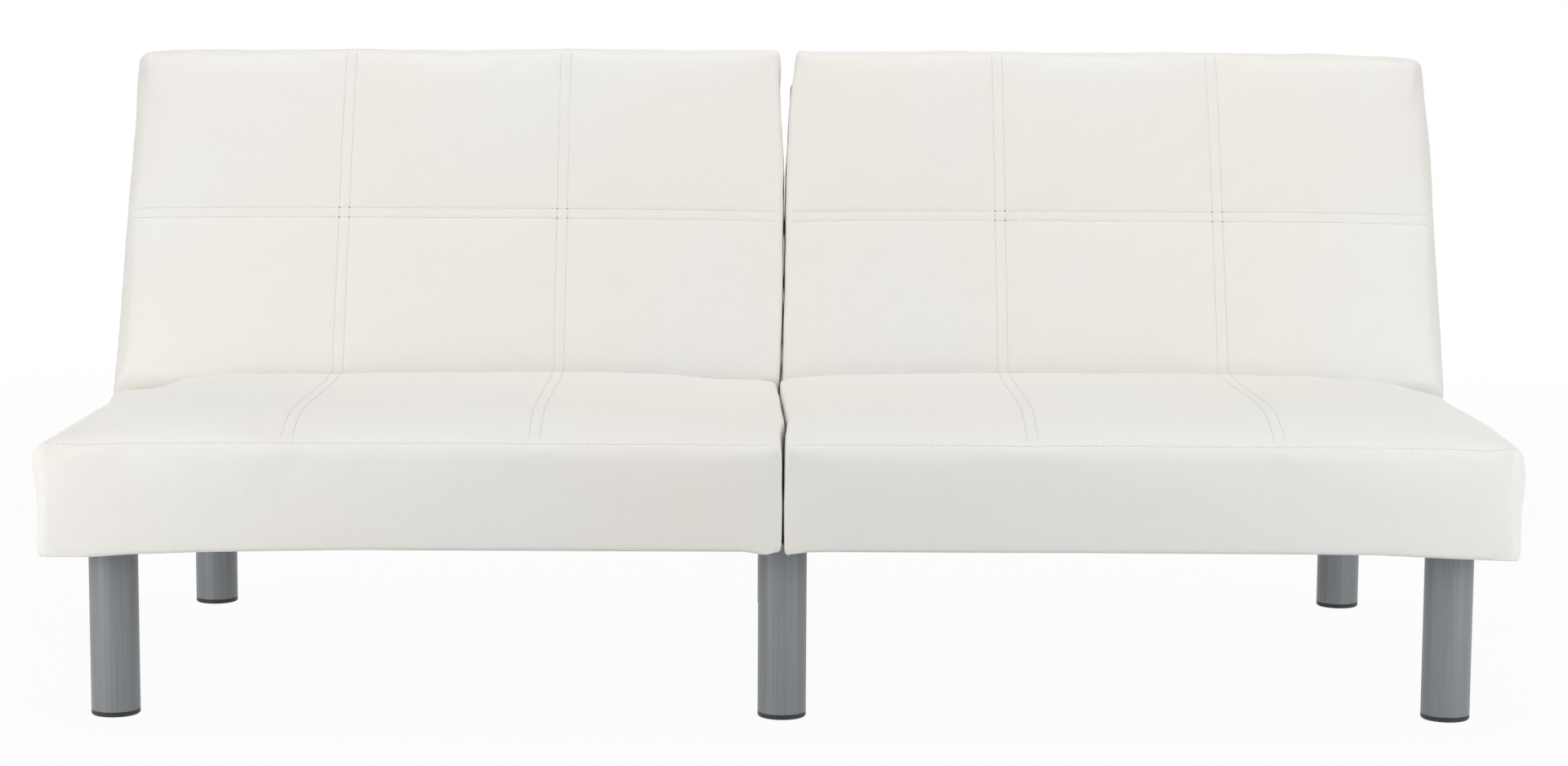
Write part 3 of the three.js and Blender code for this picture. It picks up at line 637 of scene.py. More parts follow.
# How the sat-on cover departs from its plain form on each half, in millimetres.
PULLS = {
    Side.LEFT: (
        Pull(OUT, 0.10, long_line(0.9, 0.04, (
            (0.505, 4), (0.54, 4.5), (0.655, 3.2), (0.775, 1.6), (0.865, 0.2),
        ))),
        Pull(OUT, 0.06, long_line(0.9, 0.02, (
            (0.497, 3), (0.457, -1), (0.405, -3), (0.35, 0), (0.24, 6), (0.15, 9), (0.06, 7), (0, 4),
        ))),
        Pull(UP, 0.06, long_line(0.895, 0.01, (
            (0.4, -3), (0.35, -2.5), (0.24, -1.5), (0.15, -0.5), (0.06, -2), (0, -1),
        ))),
        Pull(UP, 0.09, ((0.9, 0.435, 0.01, -11), (0.8, 0.44, 0.01, -3))),
        Pull(UP, 0.055, level_line(0, 0.138, (
            (0.9, -9), (0.835, -9), (0.787, -5.4), (0.7, -2.2), (0.544, 0.8), (0.447, 1.5), (0.252, 1.6),
            (0.077, 1.5), (0.049, 1.5), (0.022, -3.2), (0.004, 1.5),
        ))),
        Pull(UP, 0.055, long_line(0.9, 0.138, ((0.06, -5), (0.12, -6), (0.3, -3), (0.46, 0)))),
        Pull(OUT, 0.05, ((0.9, 0, 0.035, 2), (0.9, 0, 0.075, 1), (0.9, 0, 0.13, 3))),
        Pull(UP, 0.05, level_line(1.0, 0.02, (
            (0.892, -6), (0.85, -1), (0.756, 0), (0.526, 0.8), (0.181, 3.5), (0.031, 2.5),
        ))),
        Pull(OUT, 0.06, long_line(0.002, 0, (
            (0, -0.2), (0.06, 0), (0.1165, -4.4), (0.2065, -2.6), (0.3215, -0.4), (0.44, 2), (0.49, 3.9),
            (0.5, 3.6), (0.521, 0), (0.536, -1), (0.655, -4), (0.803, -4.9), (0.829, -5.2),
            (0.877, -2.8), (0.919, 0), (0.96, 1.5), (1.0, 0.6),
        )), 0),
    ),
    Side.RIGHT: (
        Pull(OUT, 0.10, long_line(0.9, 0.04, (
            (0.505, 4), (0.605, 4.6), (0.725, 5), (0.865, 5.5), (0.955, 1.2),
        ))),
        Pull(OUT, 0.06, long_line(0.9, 0.02, (
            (0.49, 0), (0.39, 5), (0.21, 10), (0.1, 7), (0.04, 2), (0, -1.5),
        ))),
        Pull(UP, 0.06, long_line(0.895, 0.01, ((0.39, 1), (0.21, 4), (0.1, 3), (0.04, 1)))),
        Pull(OUT, 0.05, ((0.9, 0, 0.035, -4.4), (0.9, 0, 0.095, -6.7), (0.9, 0, 0.13, -6))),
        Pull(UP, 0.055, level_line(0, 0.138, (
            (0.006, -2.8), (0.03, 0.6), (0.08, 1.5), (0.235, 1.4), (0.43, 1), (0.623, 0.6), (0.72, 0),
            (0.818, -4.5), (0.866, -6), (0.9, -7),
        ))),
        Pull(UP, 0.055, long_line(0.9, 0.138, ((0.06, -4), (0.12, -5), (0.3, -3), (0.46, 0)))),
        Pull(UP, 0.05, level_line(1.0, 0.02, (
            (0.03, 1), (0.095, 2.7), (0.395, 2.6), (0.742, 2.5), (0.855, -1.5), (0.885, -4),
        ))),
        Pull(OUT, 0.06, long_line(0.002, 0, (
            (0, -0.8), (0.06, -0.9), (0.1165, 3.3), (0.2065, 1.7), (0.3215, -0.5), (0.44, -2.6), (0.49, -4.1),
            (0.5, -3.6), (0.521, -0.2), (0.536, 0.2), (0.655, 3.3), (0.803, 4.4), (0.849, 6.2), (0.877, 7.5),
            (0.924, 10.2), (0.958, 13.2), (0.986, 18.5), (1.006, 18.5),
        )), 0),
    ),
}

# How sharply the crease is drawn in across each half: distance from the split, and share of the full depth.
CREASE = {
    Side.LEFT: ((0.0, 1.0), (0.04, 0.85), (0.11, 0.55), (0.2, 0.12), (0.5, 0.0), (0.84, 0.1), (0.9, 0.6)),
    Side.RIGHT: ((0.0, 1.0), (0.03, 0.7), (0.08, 0.1), (0.3, 0.0), (0.68, 0.05), (0.78, 0.45), (0.9, 1.0)),
}

# How high the fold and the dome stand above the plain crease: distance from the split, and millimetres.
CREST = {
    Side.LEFT: (
        (0, 13), (0.05, 14), (0.085, 15), (0.122, 19), (0.171, 22), (0.3, 24), (0.6, 20), (0.75, 19),
        (0.8, 14), (0.85, 3), (0.88, 0), (0.9, 0),
    ),
    Side.RIGHT: (
        (0, 15), (0.03, 18), (0.1, 22), (0.3, 25), (0.6, 25), (0.718, 22), (0.77, 18), (0.826, 14), (0.87, 4),
        (0.886, -1), (0.9, -2),
    ),
}

@dataclass
class Mattress:
    """One half of the padding: seat and back in one cover, bending at the crease."""

    side: Side
    finish: Material
    thread: Material
    pivot_drop: float = 0.098
    back_length: float = 0.501
    back_thickness: float = 0.1032
    front_edge_drop: float = 0.0065
    wall_overlap: float = 0.030
    foot_run: float = 0.2  # before the crease, where the foot's grid lines start to draw together
    foot_turn: float = 0.04  # before the crease, where the foot meets the seat's rear wall
    back_turn: float = 0.035  # after the crease, where the back's lower wall meets its rear
    back_run: float = 0.15
    crown: float = 0.009
    crown_depth: float = 0.09
    dome_start: float = 0.0125
    dome_ramp: float = 0.13
    dome_ease: float = 2.5
    dome_share: float = 0.25
    dome_middle: float = 0.15
    edge_radius: float = 0.017
    inner_square: float = 2.5
    belly_start: float = 0.01
    belly_reach: float = 0.03
    front_swell: float = 0.005
    split_swell: float = 0.0009
    back_swell: float = 0.7  # how much more the wall at the split swells on the back
    wrap_from: float = 0.085
    board_middle: float = 0.0962
    board_cover: float = 0.0018
    patch: float = 0.0125
    depth_patches: int = 9
    row_spacing: float = 0.014
    row_depth: float = 0.0006
    row_width: float = 0.0045
    lines_per_half: int = 2
    cross_line_share: float = 0.5
    lip_reach: float = 0.020
    lip_rise: float = 0.004
    lip_run: float = 0.08
    full_crest: float = 0.015
    crease_shift: float = 0.004
    crease_reach: float = 0.011
    crease_depth: float = 0.020
    fold_reach: float = 0.012
    fold_depth: float = 0.004
    blend_shift: float = 0.006
    blend_reach: float = 0.005
    front_seam: float = 0.0125
    wall: float = 0.0055
    wrap: float = 0.028
    hem_step: float = 0.0009
    board_gap: float = 0.0004
    puff_limit: float = 0.005
    puff_steps: int = 14
    stitch_pitch: float = 0.0062
    stitch_length: float = 0.0046
    stitch_radius: float = 0.00042
    grid: tuple[Array, Array, Array] = field(init=False, repr=False)
    places: Array = field(init=False, repr=False)

    def __post_init__(self) -> None:
        """Works out the places that follow from the frame."""
        label = self.side.value
        low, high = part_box(f"seat_cover_{label}")
        joint = next(j for j in frame["joints"] if j["name"] == f"back_fold_{label}")
        pivot = Vector(joint["pos_m"])
        self.fold = math.radians(joint["range_deg"][1])
        self.front, self.base = low.y, low.z
        self.left, self.right = low.x, high.x
        self.width = high.x - low.x
        self.mitre_half = math.tan(self.fold / 2)
        self.pivot = np.array([pivot.y, pivot.z])
        self.crease = np.array([pivot.y - self.pivot_drop * self.mitre_half, pivot.z + self.pivot_drop])
        self.seat_length = self.crease[0] - self.front
        self.length = self.seat_length + self.back_length
        self.up_back = np.array([math.cos(self.fold), math.sin(self.fold)])
        self.into_back = np.array([math.sin(self.fold), -math.cos(self.fold)])
        self.seat_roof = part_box(f"seat_board_{label}")[1].z + self.board_gap
        self.edge = self.edge_radius * (1 - np.tan(np.radians([45, 33.75, 22.5, 11.25, 0])))
        step = self.width / (self.lines_per_half + 1)
        self.lines = [step * (i + 1) for i in range(self.lines_per_half)]
        self.crossing = self.seat_length + self.back_length * self.cross_line_share
        pair = (-self.row_spacing / 2, self.row_spacing / 2)
        self.rows = [line + offset for line in self.lines for offset in pair]
        self.cross_rows = [self.crossing + offset for offset in pair]

    @property
    def inner(self) -> float:
        """The x of the wall at the split."""
        return self.right if self.side is Side.LEFT else self.left

    @property
    def middle(self) -> float:
        """The x of the half's middle."""
        return (self.left + self.right) / 2

    def from_split(self, x: Array) -> Array:
        """The distance from this half's wall at the split."""
        return self.width - x if self.side is Side.LEFT else x

    def across(self, table: dict[Side, Sequence[tuple[float, float]]], x: Array) -> Array:
        """The value that a table holds for places across this half."""
        places, values = zip(*table[self.side])
        return np.interp(np.abs(x), places, values)

    # The flat pattern: x across, t along from the seat's front to the back's top, d into the padding

    def stations(self, length: float, marks: Iterable[float], fine: Sequence[float]) -> Array:
        """Grid lines over a length: close in the rounded edges and around each mark.

        Args:
            length: the length to cover.
            marks: the middles of the places that need close lines.
            fine: the distances of the close lines from a mark's middle.

        Returns:
            The lines' places, rising from 0 to length.
        """
        fixed = [*self.edge, *(length - self.edge)]
        fixed += [mark + sign * offset for mark in marks for offset in fine for sign in (-1, 1)]
        fixed = sorted(set(np.round(fixed, 6)))
        lines = [fixed[0]]
        for start, end in zip(fixed, fixed[1:]):
            count = max(1, round((end - start) / self.patch))
            lines += [start + (end - start) * i / count for i in range(1, count + 1)]
        return np.array(lines)

    def top(self, t: Array, x: Array) -> Array:
        """The face in the yz plane: the domed seat, the back, and the crease between them."""
        run = t - self.seat_length
        crest = self.across(CREST, x) / 1000
        drop = self.front_edge_drop * np.clip(-run / self.seat_length, 0, 1)
        ramp = 1 - (1 - np.clip((t - self.dome_start) / self.dome_ramp, 0, 1)) ** self.dome_ease
        dome = crest * ramp * (1 + self.dome_share * bell(t - self.dome_middle, 2 * self.dome_middle))
        dome += self.lip_rise * np.minimum(crest / self.full_crest, 1) * bell(run, self.lip_run)
        dome = dome * (1 - bell(run, self.lip_reach))
        seat = np.stack([self.crease[0] + run, self.crease[1] - drop + dome], -1)
        back = self.crease + run[..., None] * self.up_back
        face = np.where((run < 0)[..., None], seat, back)
        inward = self.pivot - self.crease
        inward = inward / np.linalg.norm(inward)
        sharp = self.across(CREASE, x)
        pull = self.crease_depth * bell(run - self.crease_shift, self.crease_reach)
        pull += self.fold_depth * sharp * bell(run * math.cos(self.fold / 2), self.fold_reach)
        return face + pull[..., None] * inward

    def under(self, t: Array) -> Array:
        """The rear: the seat's foot and rear wall, the back's lower wall and rear face."""
        wall = self.crease[0] + self.wall_overlap
        start = self.seat_length
        knots = [
            (0, (self.front, self.base)),
            (start - self.foot_run, (self.crease[0] - self.foot_run, self.base)),
            (start - self.foot_turn, (wall, self.base)),
            (start, (wall, self.crease[1] - self.wall_overlap / self.mitre_half)),
        ]
        for at, along in (
            (start + self.back_turn, -self.wall_overlap),
            (start + self.back_run, self.back_run),
            (self.length, self.back_length),
        ):
            knots.append((at, self.crease + along * self.up_back + self.back_thickness * self.into_back))
        stations, places = zip(*knots)
        places = np.array(places)
        return np.stack([np.interp(t, stations, places[:, axis]) for axis in (0, 1)], -1)

    def under_knots(self) -> list[float]:
        """Grid lines for the rear: the seat wall's inner and outer side, the back's edge and hem."""
        foot, edge = self.seat_length - self.foot_turn, self.seat_length + self.back_turn
        slope = (self.foot_run + self.wall_overlap) / (self.foot_run - self.foot_turn)
        back_slope = (self.back_run + self.wall_overlap) / (self.back_run - self.back_turn)
        return [foot - self.wall / slope, foot, edge, edge + self.wrap / back_slope]

    def pattern(self) -> tuple[Array, Array]:
        """The grid lines across and along the half."""
        row, close = self.row_spacing / 2, 0.004
        fine = [0, row - close, row, row + close, row + 0.010]
        crease = [0, 0.002, 0.0045, 0.007, 0.010, 0.0135, 0.018, 0.024]
        near = [self.seat_length + sign * offset for offset in crease for sign in (-1, 1)]
        near += self.under_knots()
        along = self.stations(self.length, [self.crossing], fine)
        along = [t for t in along if min(abs(t - n) for n in near) > close]
        along = np.array(sorted({*np.round(along, 6), *np.round(near, 6)}))
        return self.stations(self.width, self.lines, fine), along

    def form(self) -> Piece:
        """Models the plain padded block on its grid."""
        across, along = self.pattern()
        edge, lead = self.edge, self.edge_radius
        shares = np.linspace(0, 1, self.depth_patches + 1)[1:]
        counts = (len(across), len(along), len(edge) + len(shares))
        block = Bench.lattice_box(counts)
        unit = Bench.points(block) + 0.5
        ix, it, up = (np.rint(unit[:, i] * (counts[i] - 1)).astype(int) for i in range(3))
        x, t, level = across[ix], along[it], counts[2] - 1 - up
        self.grid = (x, t, level)
        whole = np.linalg.norm(self.under(t) - self.top(t, x + self.left), axis=1)
        deep = lead + (whole - lead) * np.concatenate([np.zeros(len(edge)), shares])[level]
        depth = np.where(level < len(edge), edge[np.minimum(level, len(edge) - 1)], deep)
        core_x, core_t = np.clip(x, lead, self.width - lead), np.clip(t, lead, self.length - lead)
        core = np.stack([core_x, core_t, np.maximum(depth, lead)], -1)
        away = np.stack([x, t, depth], -1) - core
        out = np.abs(away)
        reach = np.maximum(out.max(axis=1, keepdims=True), TINY)
        near_split = self.from_split(x) < self.width / 2
        power = 2 + self.inner_square * (near_split[:, None] * out[:, :1] / reach)
        size = ((out / reach) ** power).sum(axis=1, keepdims=True) ** (1 / power)
        self.places = core + np.sign(away) * out / np.maximum(size, TINY)
        Bench.move(block, self.bend(self.places))
        kept = block.data.attributes.new("pattern", "FLOAT_VECTOR", "POINT")
        kept.data.foreach_set("vector", self.places.ravel())
        return block

    def bend(self, flat: Array) -> Array:
        """Takes places in the flat pattern to the sofa, with the back's crown and the walls' bellies."""
        x, t, depth = flat.T
        world_x = x + self.left
        top = self.top(t, world_x)
        column = self.under(t) - top
        reach = np.linalg.norm(column, axis=1, keepdims=True)
        place = top + column / reach * depth[:, None]
        across = 2 * x / self.width - 1
        on_back = t > self.seat_length
        share = (t - self.seat_length) / self.back_length
        rise = self.crown * (1 - across**4) * (1 - (2 * share - 1) ** 4) * on_back
        rise = rise * np.clip(1 - depth / self.crown_depth, 0, 1)
        place = place - rise[:, None] * self.into_back
        wall = np.clip((depth - self.belly_start) / (reach[:, 0] - self.belly_start), 0, 1)
        belly = 4 * wall * (1 - wall)
        place[:, 0] -= self.front_swell * belly * (1 - across**8) * bell(t, self.belly_reach)
        swell = self.split_swell * (1 + self.back_swell * smoothstep((t - self.seat_length) / 0.05))
        world_x = world_x - self.side.sign * swell * belly * bell(self.from_split(x), self.belly_reach)
        return np.stack([world_x, place[:, 0], place[:, 1]], -1)

    # Simulation and shaping

    def pattern_of(self, points: Array) -> Array:
        """The flat pattern's x, t and d of places near the padding, for shaping after the simulation."""
        rel = points[:, 1:] - self.crease
        on_back = rel @ (self.up_back - np.array([-1.0, 0.0])) > 0
        t = self.seat_length + np.where(on_back, rel @ self.up_back, rel[:, 0])
        d = np.where(on_back, rel @ self.into_back, -rel[:, 1])
        return np.stack([points[:, 0] - self.left, t, d], -1)

    def held(self) -> Array:
        """How firmly each vertex is held: at the rows, the walls' feet, the split and the crease."""
        x, t, d = self.places.T
        rows = np.min([np.abs(x - line) for line in self.lines], axis=0)
        return np.max([
            bell(rows, 0.016),
            bell(np.abs(t - self.crossing), 0.016),
            bell(t - self.seat_length, 0.03),
            smoothstep((d - 0.07) / 0.02),
            bell(self.from_split(x), 0.02),
        ], axis=0)

    def inflate(self, block: Piece) -> None:
        """Swells the cover with a short cloth simulation."""
        rest = Bench.points(block)
        group = block.vertex_groups.new(name="held")
        for index, weight in enumerate(self.held()):
            if weight > 0.01:
                group.add([index], float(weight), "REPLACE")
        cloth = block.modifiers.new("Cloth", "CLOTH")
        settings = cloth.settings
        settings.quality = 4
        settings.mass = 0.4
        settings.use_pressure = True
        settings.uniform_pressure_force = 3.5
        settings.tension_stiffness = settings.compression_stiffness = 25
        settings.shear_stiffness = 12
        settings.bending_stiffness = 4
        settings.vertex_group_mass = group.name
        settings.effector_weights.gravity = 0
        cloth.collision_settings.use_collision = False
        scene = bpy.context.scene
        for step in range(self.puff_steps):
            scene.frame_set(step + 1)
        swollen = Bench.points(block.evaluated_get(bpy.context.evaluated_depsgraph_get()))
        block.modifiers.remove(cloth)
        block.vertex_groups.clear()
        scene.frame_set(1)
        shift = swollen - rest
        size = np.linalg.norm(shift, axis=1, keepdims=True)
        eased = self.puff_limit * np.tanh(size / self.puff_limit)
        LOG.info("padding swelled by %.1f mm at most", 1000 * float(size.max()))
        Bench.move(block, rest + shift / np.maximum(size, TINY) * eased)

    def recess(self, block: Piece, wanted: Array, steps: Sequence[tuple[Vector, float]]) -> None:
        """Pushes a region of faces inwards, in steps.

        Args:
            block: the padded block.
            wanted: for each vertex, whether the region holds it; a face is taken if all its vertices are.
            steps: for each step, the region's move and how far its rim spreads outwards.
        """
        faces = {p.index for p in block.data.polygons if all(wanted[v] for v in p.vertices)}
        Bench.select_faces(block, lambda face: face.index in faces)
        for move, spread in steps:
            bpy.ops.mesh.extrude_region_move(TRANSFORM_OT_translate={"value": move})
            if spread:
                bpy.ops.object.mode_set(mode="OBJECT")
                self.widen(block, spread)
                bpy.ops.object.mode_set(mode="EDIT")
        Bench.leave_edit()

    def widen(self, block: Piece, spread: float) -> None:
        """Stretches the selected rectangle by spread on each of its sides, across and along the back."""
        chosen = np.array([v.select for v in block.data.vertices])
        points = Bench.points(block)
        part = points[chosen]
        for axis in (np.array([1.0, 0.0, 0.0]), np.array([0.0, *self.up_back])):
            reach = part @ axis
            middle, half = (reach.min() + reach.max()) / 2, (reach.max() - reach.min()) / 2
            part = part + np.outer((reach - middle) / half * spread, axis)
        points[chosen] = part
        Bench.move(block, points)

    def open_foot(self, block: Piece) -> None:
        """Recesses the seat's foot and the back's rear, so the boards and rails fit inside."""
        x, t, level = self.grid
        bottom = level == level.max()
        slack = 1e-6
        inset = self.edge[1] - slack
        seat_wall, _, _, back_wall = self.under_knots()
        foot = bottom & (x > inset) & (x < self.width - inset) & (t > inset) & (t < seat_wall + slack)
        rear = bottom & (x > self.wrap) & (x < self.width - self.wrap)
        rear &= (t > back_wall - slack) & (t < self.length - self.wrap)
        into = Vector((0, *self.into_back))
        deep = self.back_recess() - self.hem_step
        self.recess(block, foot, [(Vector((0, 0, self.seat_roof - self.base)), 0)])
        pad = np.zeros(len(block.data.vertices), dtype=bool)
        pad[: len(rear)] = rear
        rim = self.wrap - self.wall
        self.recess(block, pad, [(-self.hem_step * into, 0), (Vector(), rim), (-deep * into, 0)])

    def back_recess(self) -> float:
        """How deep the back's rear is recessed for its board."""
        points = Bench.points(frame["nodes"][f"back_board_{self.side.value}"])
        depths = (points[:, 1:] - self.crease) @ self.into_back
        return self.back_thickness - float(depths.min()) + self.board_gap

    def build(self) -> Piece:
        label = self.side.value
        block = self.form()
        self.inflate(block)
        self.open_foot(block)
        Bench.modify(block, "SUBSURF", levels=1, render_levels=1)
        self.shape(block)
        Bench.smooth(block, 50)
        mattress = Bench.name(block, f"mattress_{label}", self.finish)
        self.surface = BVHTree.FromObject(mattress, bpy.context.evaluated_depsgraph_get())
        self.cross_hinge(mattress)
        nodes = [f"{part}_{kind}_{label}" for part in ("seat", "back") for kind in ("cover", "foam")]
        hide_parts(*nodes)
        LOG.info("%s: %d faces", mattress.name, len(mattress.data.polygons))
        return mattress

    def cross_hinge(self, piece: Piece) -> None:
        """Puts a piece's place into its mesh."""
        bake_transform(piece)

    def shape(self, block: Piece) -> None:
        """Sinks the stitch rows and seams, and adds the folds and sags of a sat-on cover."""
        points = Bench.points(block)
        kept = block.data.attributes["pattern"]
        x, t, d = Bench.rows(kept.data, "vector").T
        pattern = self.pattern_of(points)
        pattern[:, 0] = self.from_split(pattern[:, 0]) + abs(self.inner)
        on_face = bell(d, 0.022) * (d < 0.03)
        sink = self.grooves(x, t) * on_face + self.ripples(points, d)
        points += -Bench.rows(block.data.vertex_normals, "vector") * sink[:, None]
        for pull in PULLS[self.side]:
            points += pull.shift(pattern) * np.array([self.side.sign, 1, 1])
        hem = (self.from_split(x) < 0.004) & (t > self.seat_length + 0.1) & (d > self.wrap_from)
        self.wrap_board(points, d, hem)
        Bench.move(block, points)
        block.data.attributes.remove(block.data.attributes["pattern"])

    def wrap_board(self, points: Array, depth: Array, edge: Array) -> None:
        """Keeps the cover's rear edge outside the back board beside the split.

        Args:
            points: the cover's vertices, changed in place.
            depth: their depths in the padding.
            edge: for each vertex, whether it is on the wall at the split, level with the board.
        """
        node = bpy.data.objects[f"back_board_{self.side.value}"]
        board = BVHTree.FromObject(node, bpy.context.evaluated_depsgraph_get())
        out = self.side.sign
        for index in np.flatnonzero(edge):
            x = points[index, 0]
            y, z = points[index, 1:] + (self.board_middle - depth[index]) * self.into_back
            hit = board.ray_cast(Vector((-0.05 * out, y, z)), Vector((out, 0, 0)))[0]
            if hit is not None and out * x > out * hit.x - self.board_cover:
                points[index, 0] = hit.x - out * self.board_cover

    def grooves(self, x: Array, t: Array) -> Array:
        """How deep the thread and the front seam draw the cover in."""
        seat = smoothstep((t - 0.02) / 0.02) * smoothstep((self.seat_length - 0.01 - t) / 0.05)
        back = smoothstep((t - self.seat_length - 0.002) / 0.01)
        back = back * smoothstep((self.length - 0.008 - t) / 0.01)
        inside = smoothstep(x / 0.02) * smoothstep((self.width - x) / 0.02)
        drawn = [bell(x - row, self.row_width) * np.maximum(seat, back) for row in self.rows]
        drawn += [bell(t - row, self.row_width) * inside for row in self.cross_rows]
        seam = bell(t - self.front_seam, 0.004) * inside
        return self.row_depth * (np.max(drawn, axis=0) + seam)

    def ripples(self, points: Array, d: Array) -> Array:
        """The soft unevenness of foam and wadding under the cover."""
        x, y, z = points.T
        rise = 0.4 * np.sin(23 * x + 9 * z + 1.3) * np.sin(17 * z - 11 * y + 0.7)
        rise += 0.25 * np.sin(61 * x - 31 * z) * np.sin(47 * z + 29 * y + 2.1)
        rise += 0.12 * np.sin(140 * x + 90 * y) * np.sin(120 * z - 70 * x)
        return 0.0014 * rise * smoothstep((0.09 - d) / 0.03)

    # Stitching

    def run(self, start: Sequence[float], end: Sequence[float]) -> Array:
        """Evenly spaced stitch places from start to end on the flat pattern."""
        start, end = np.array(start), np.array(end)
        count = max(2, int(np.linalg.norm(end - start) / self.stitch_pitch))
        share = (np.arange(count) + 0.5) / count
        return start + share[:, None] * (end - start)

    def row_paths(self) -> list[Array]:
        """The stitch rows as lines of flat places, one row for each line."""
        spans = ((0.022, self.seat_length - 0.010), (self.seat_length + 0.005, self.length - 0.010))
        ends = [((row, a), (row, b)) for row in self.rows for a, b in spans]
        level = [(row, 0.010) for row in self.cross_rows] + [(self.front_seam, 0.012)]
        ends += [((inset, row), (self.width - inset, row)) for row, inset in level]
        return [self.run(*pair) for pair in ends]

    def on_cover(self, row: Array) -> Array:
        """Takes places on the flat pattern to the shaped cover."""
        world = self.bend(np.column_stack([row, np.zeros(len(row))]))
        pattern = np.column_stack([np.abs(world[:, 0]), row[:, 1], np.zeros(len(row))])
        for pull in PULLS[self.side]:
            world = world + pull.shift(pattern) * np.array([self.side.sign, 1, 1])
        return world

    def seat_on_cover(self, point: Array, ahead: Vector, lift: float) -> Matrix:
        """The place on the cover nearest to a point, with x along ahead and z outwards."""
        hit, normal, _, _ = self.surface.find_nearest(Vector(point))
        forward = (ahead - ahead.dot(normal) * normal).normalized()
        turn = Matrix((forward, normal.cross(forward), normal)).transposed().to_4x4()
        turn.translation = hit + normal * lift
        return turn

    def stitches(self) -> None:
        """Sews the rows: one stitch is modelled and copied along every row."""
        Bench.clear()
        bpy.ops.mesh.primitive_cylinder_add(vertices=6, radius=self.stitch_radius, depth=self.stitch_length)
        stitch = bpy.context.object
        stitch.rotation_euler = (0, math.pi / 2, 0)
        Bench.settle(stitch)
        Bench.modify(stitch, "BEVEL", width=0.6 * self.stitch_radius, segments=1, limit_method="ANGLE")
        places = []
        for row in self.row_paths():
            world = self.on_cover(row)
            ahead = Vector(world[-1] - world[0])
            places += [self.seat_on_cover(point, ahead, 0.25 * self.stitch_radius) for point in world]
        sewn = Bench.repeat(stitch, places, f"stitching_{self.side.value}", self.thread)
        self.cross_hinge(sewn)
        LOG.info("%s: %d stitches", sewn.name, len(places))

    def hole_shade_discs(self, finish: Material) -> None:
        """Sets a small dark disc in the cover wherever the double rows cross, as painted shade of the needle
        holes there.
        """
        Bench.clear()
        # Each disc is black cloth laid on the cover: painted shade where a needle hole would be dark.
        bpy.ops.mesh.primitive_cylinder_add(vertices=8, radius=0.0011, depth=0.0008)
        shade_disc = bpy.context.object
        Bench.modify(shade_disc, "BEVEL", width=0.0002, segments=1, limit_method="ANGLE")
        crossings = self.on_cover(np.array([(x, t) for x in self.rows for t in self.cross_rows]))
        places = [self.seat_on_cover(point, Vector((1, 0, 0)), 0.0) for point in crossings]
        shade_discs = Bench.repeat(shade_disc, places, f"hole_shade_discs_{self.side.value}", finish)
        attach(shade_discs, f"back_{self.side.value}")
        LOG.info("%s: %d holes", shade_discs.name, len(places))


# The cloths behind and below


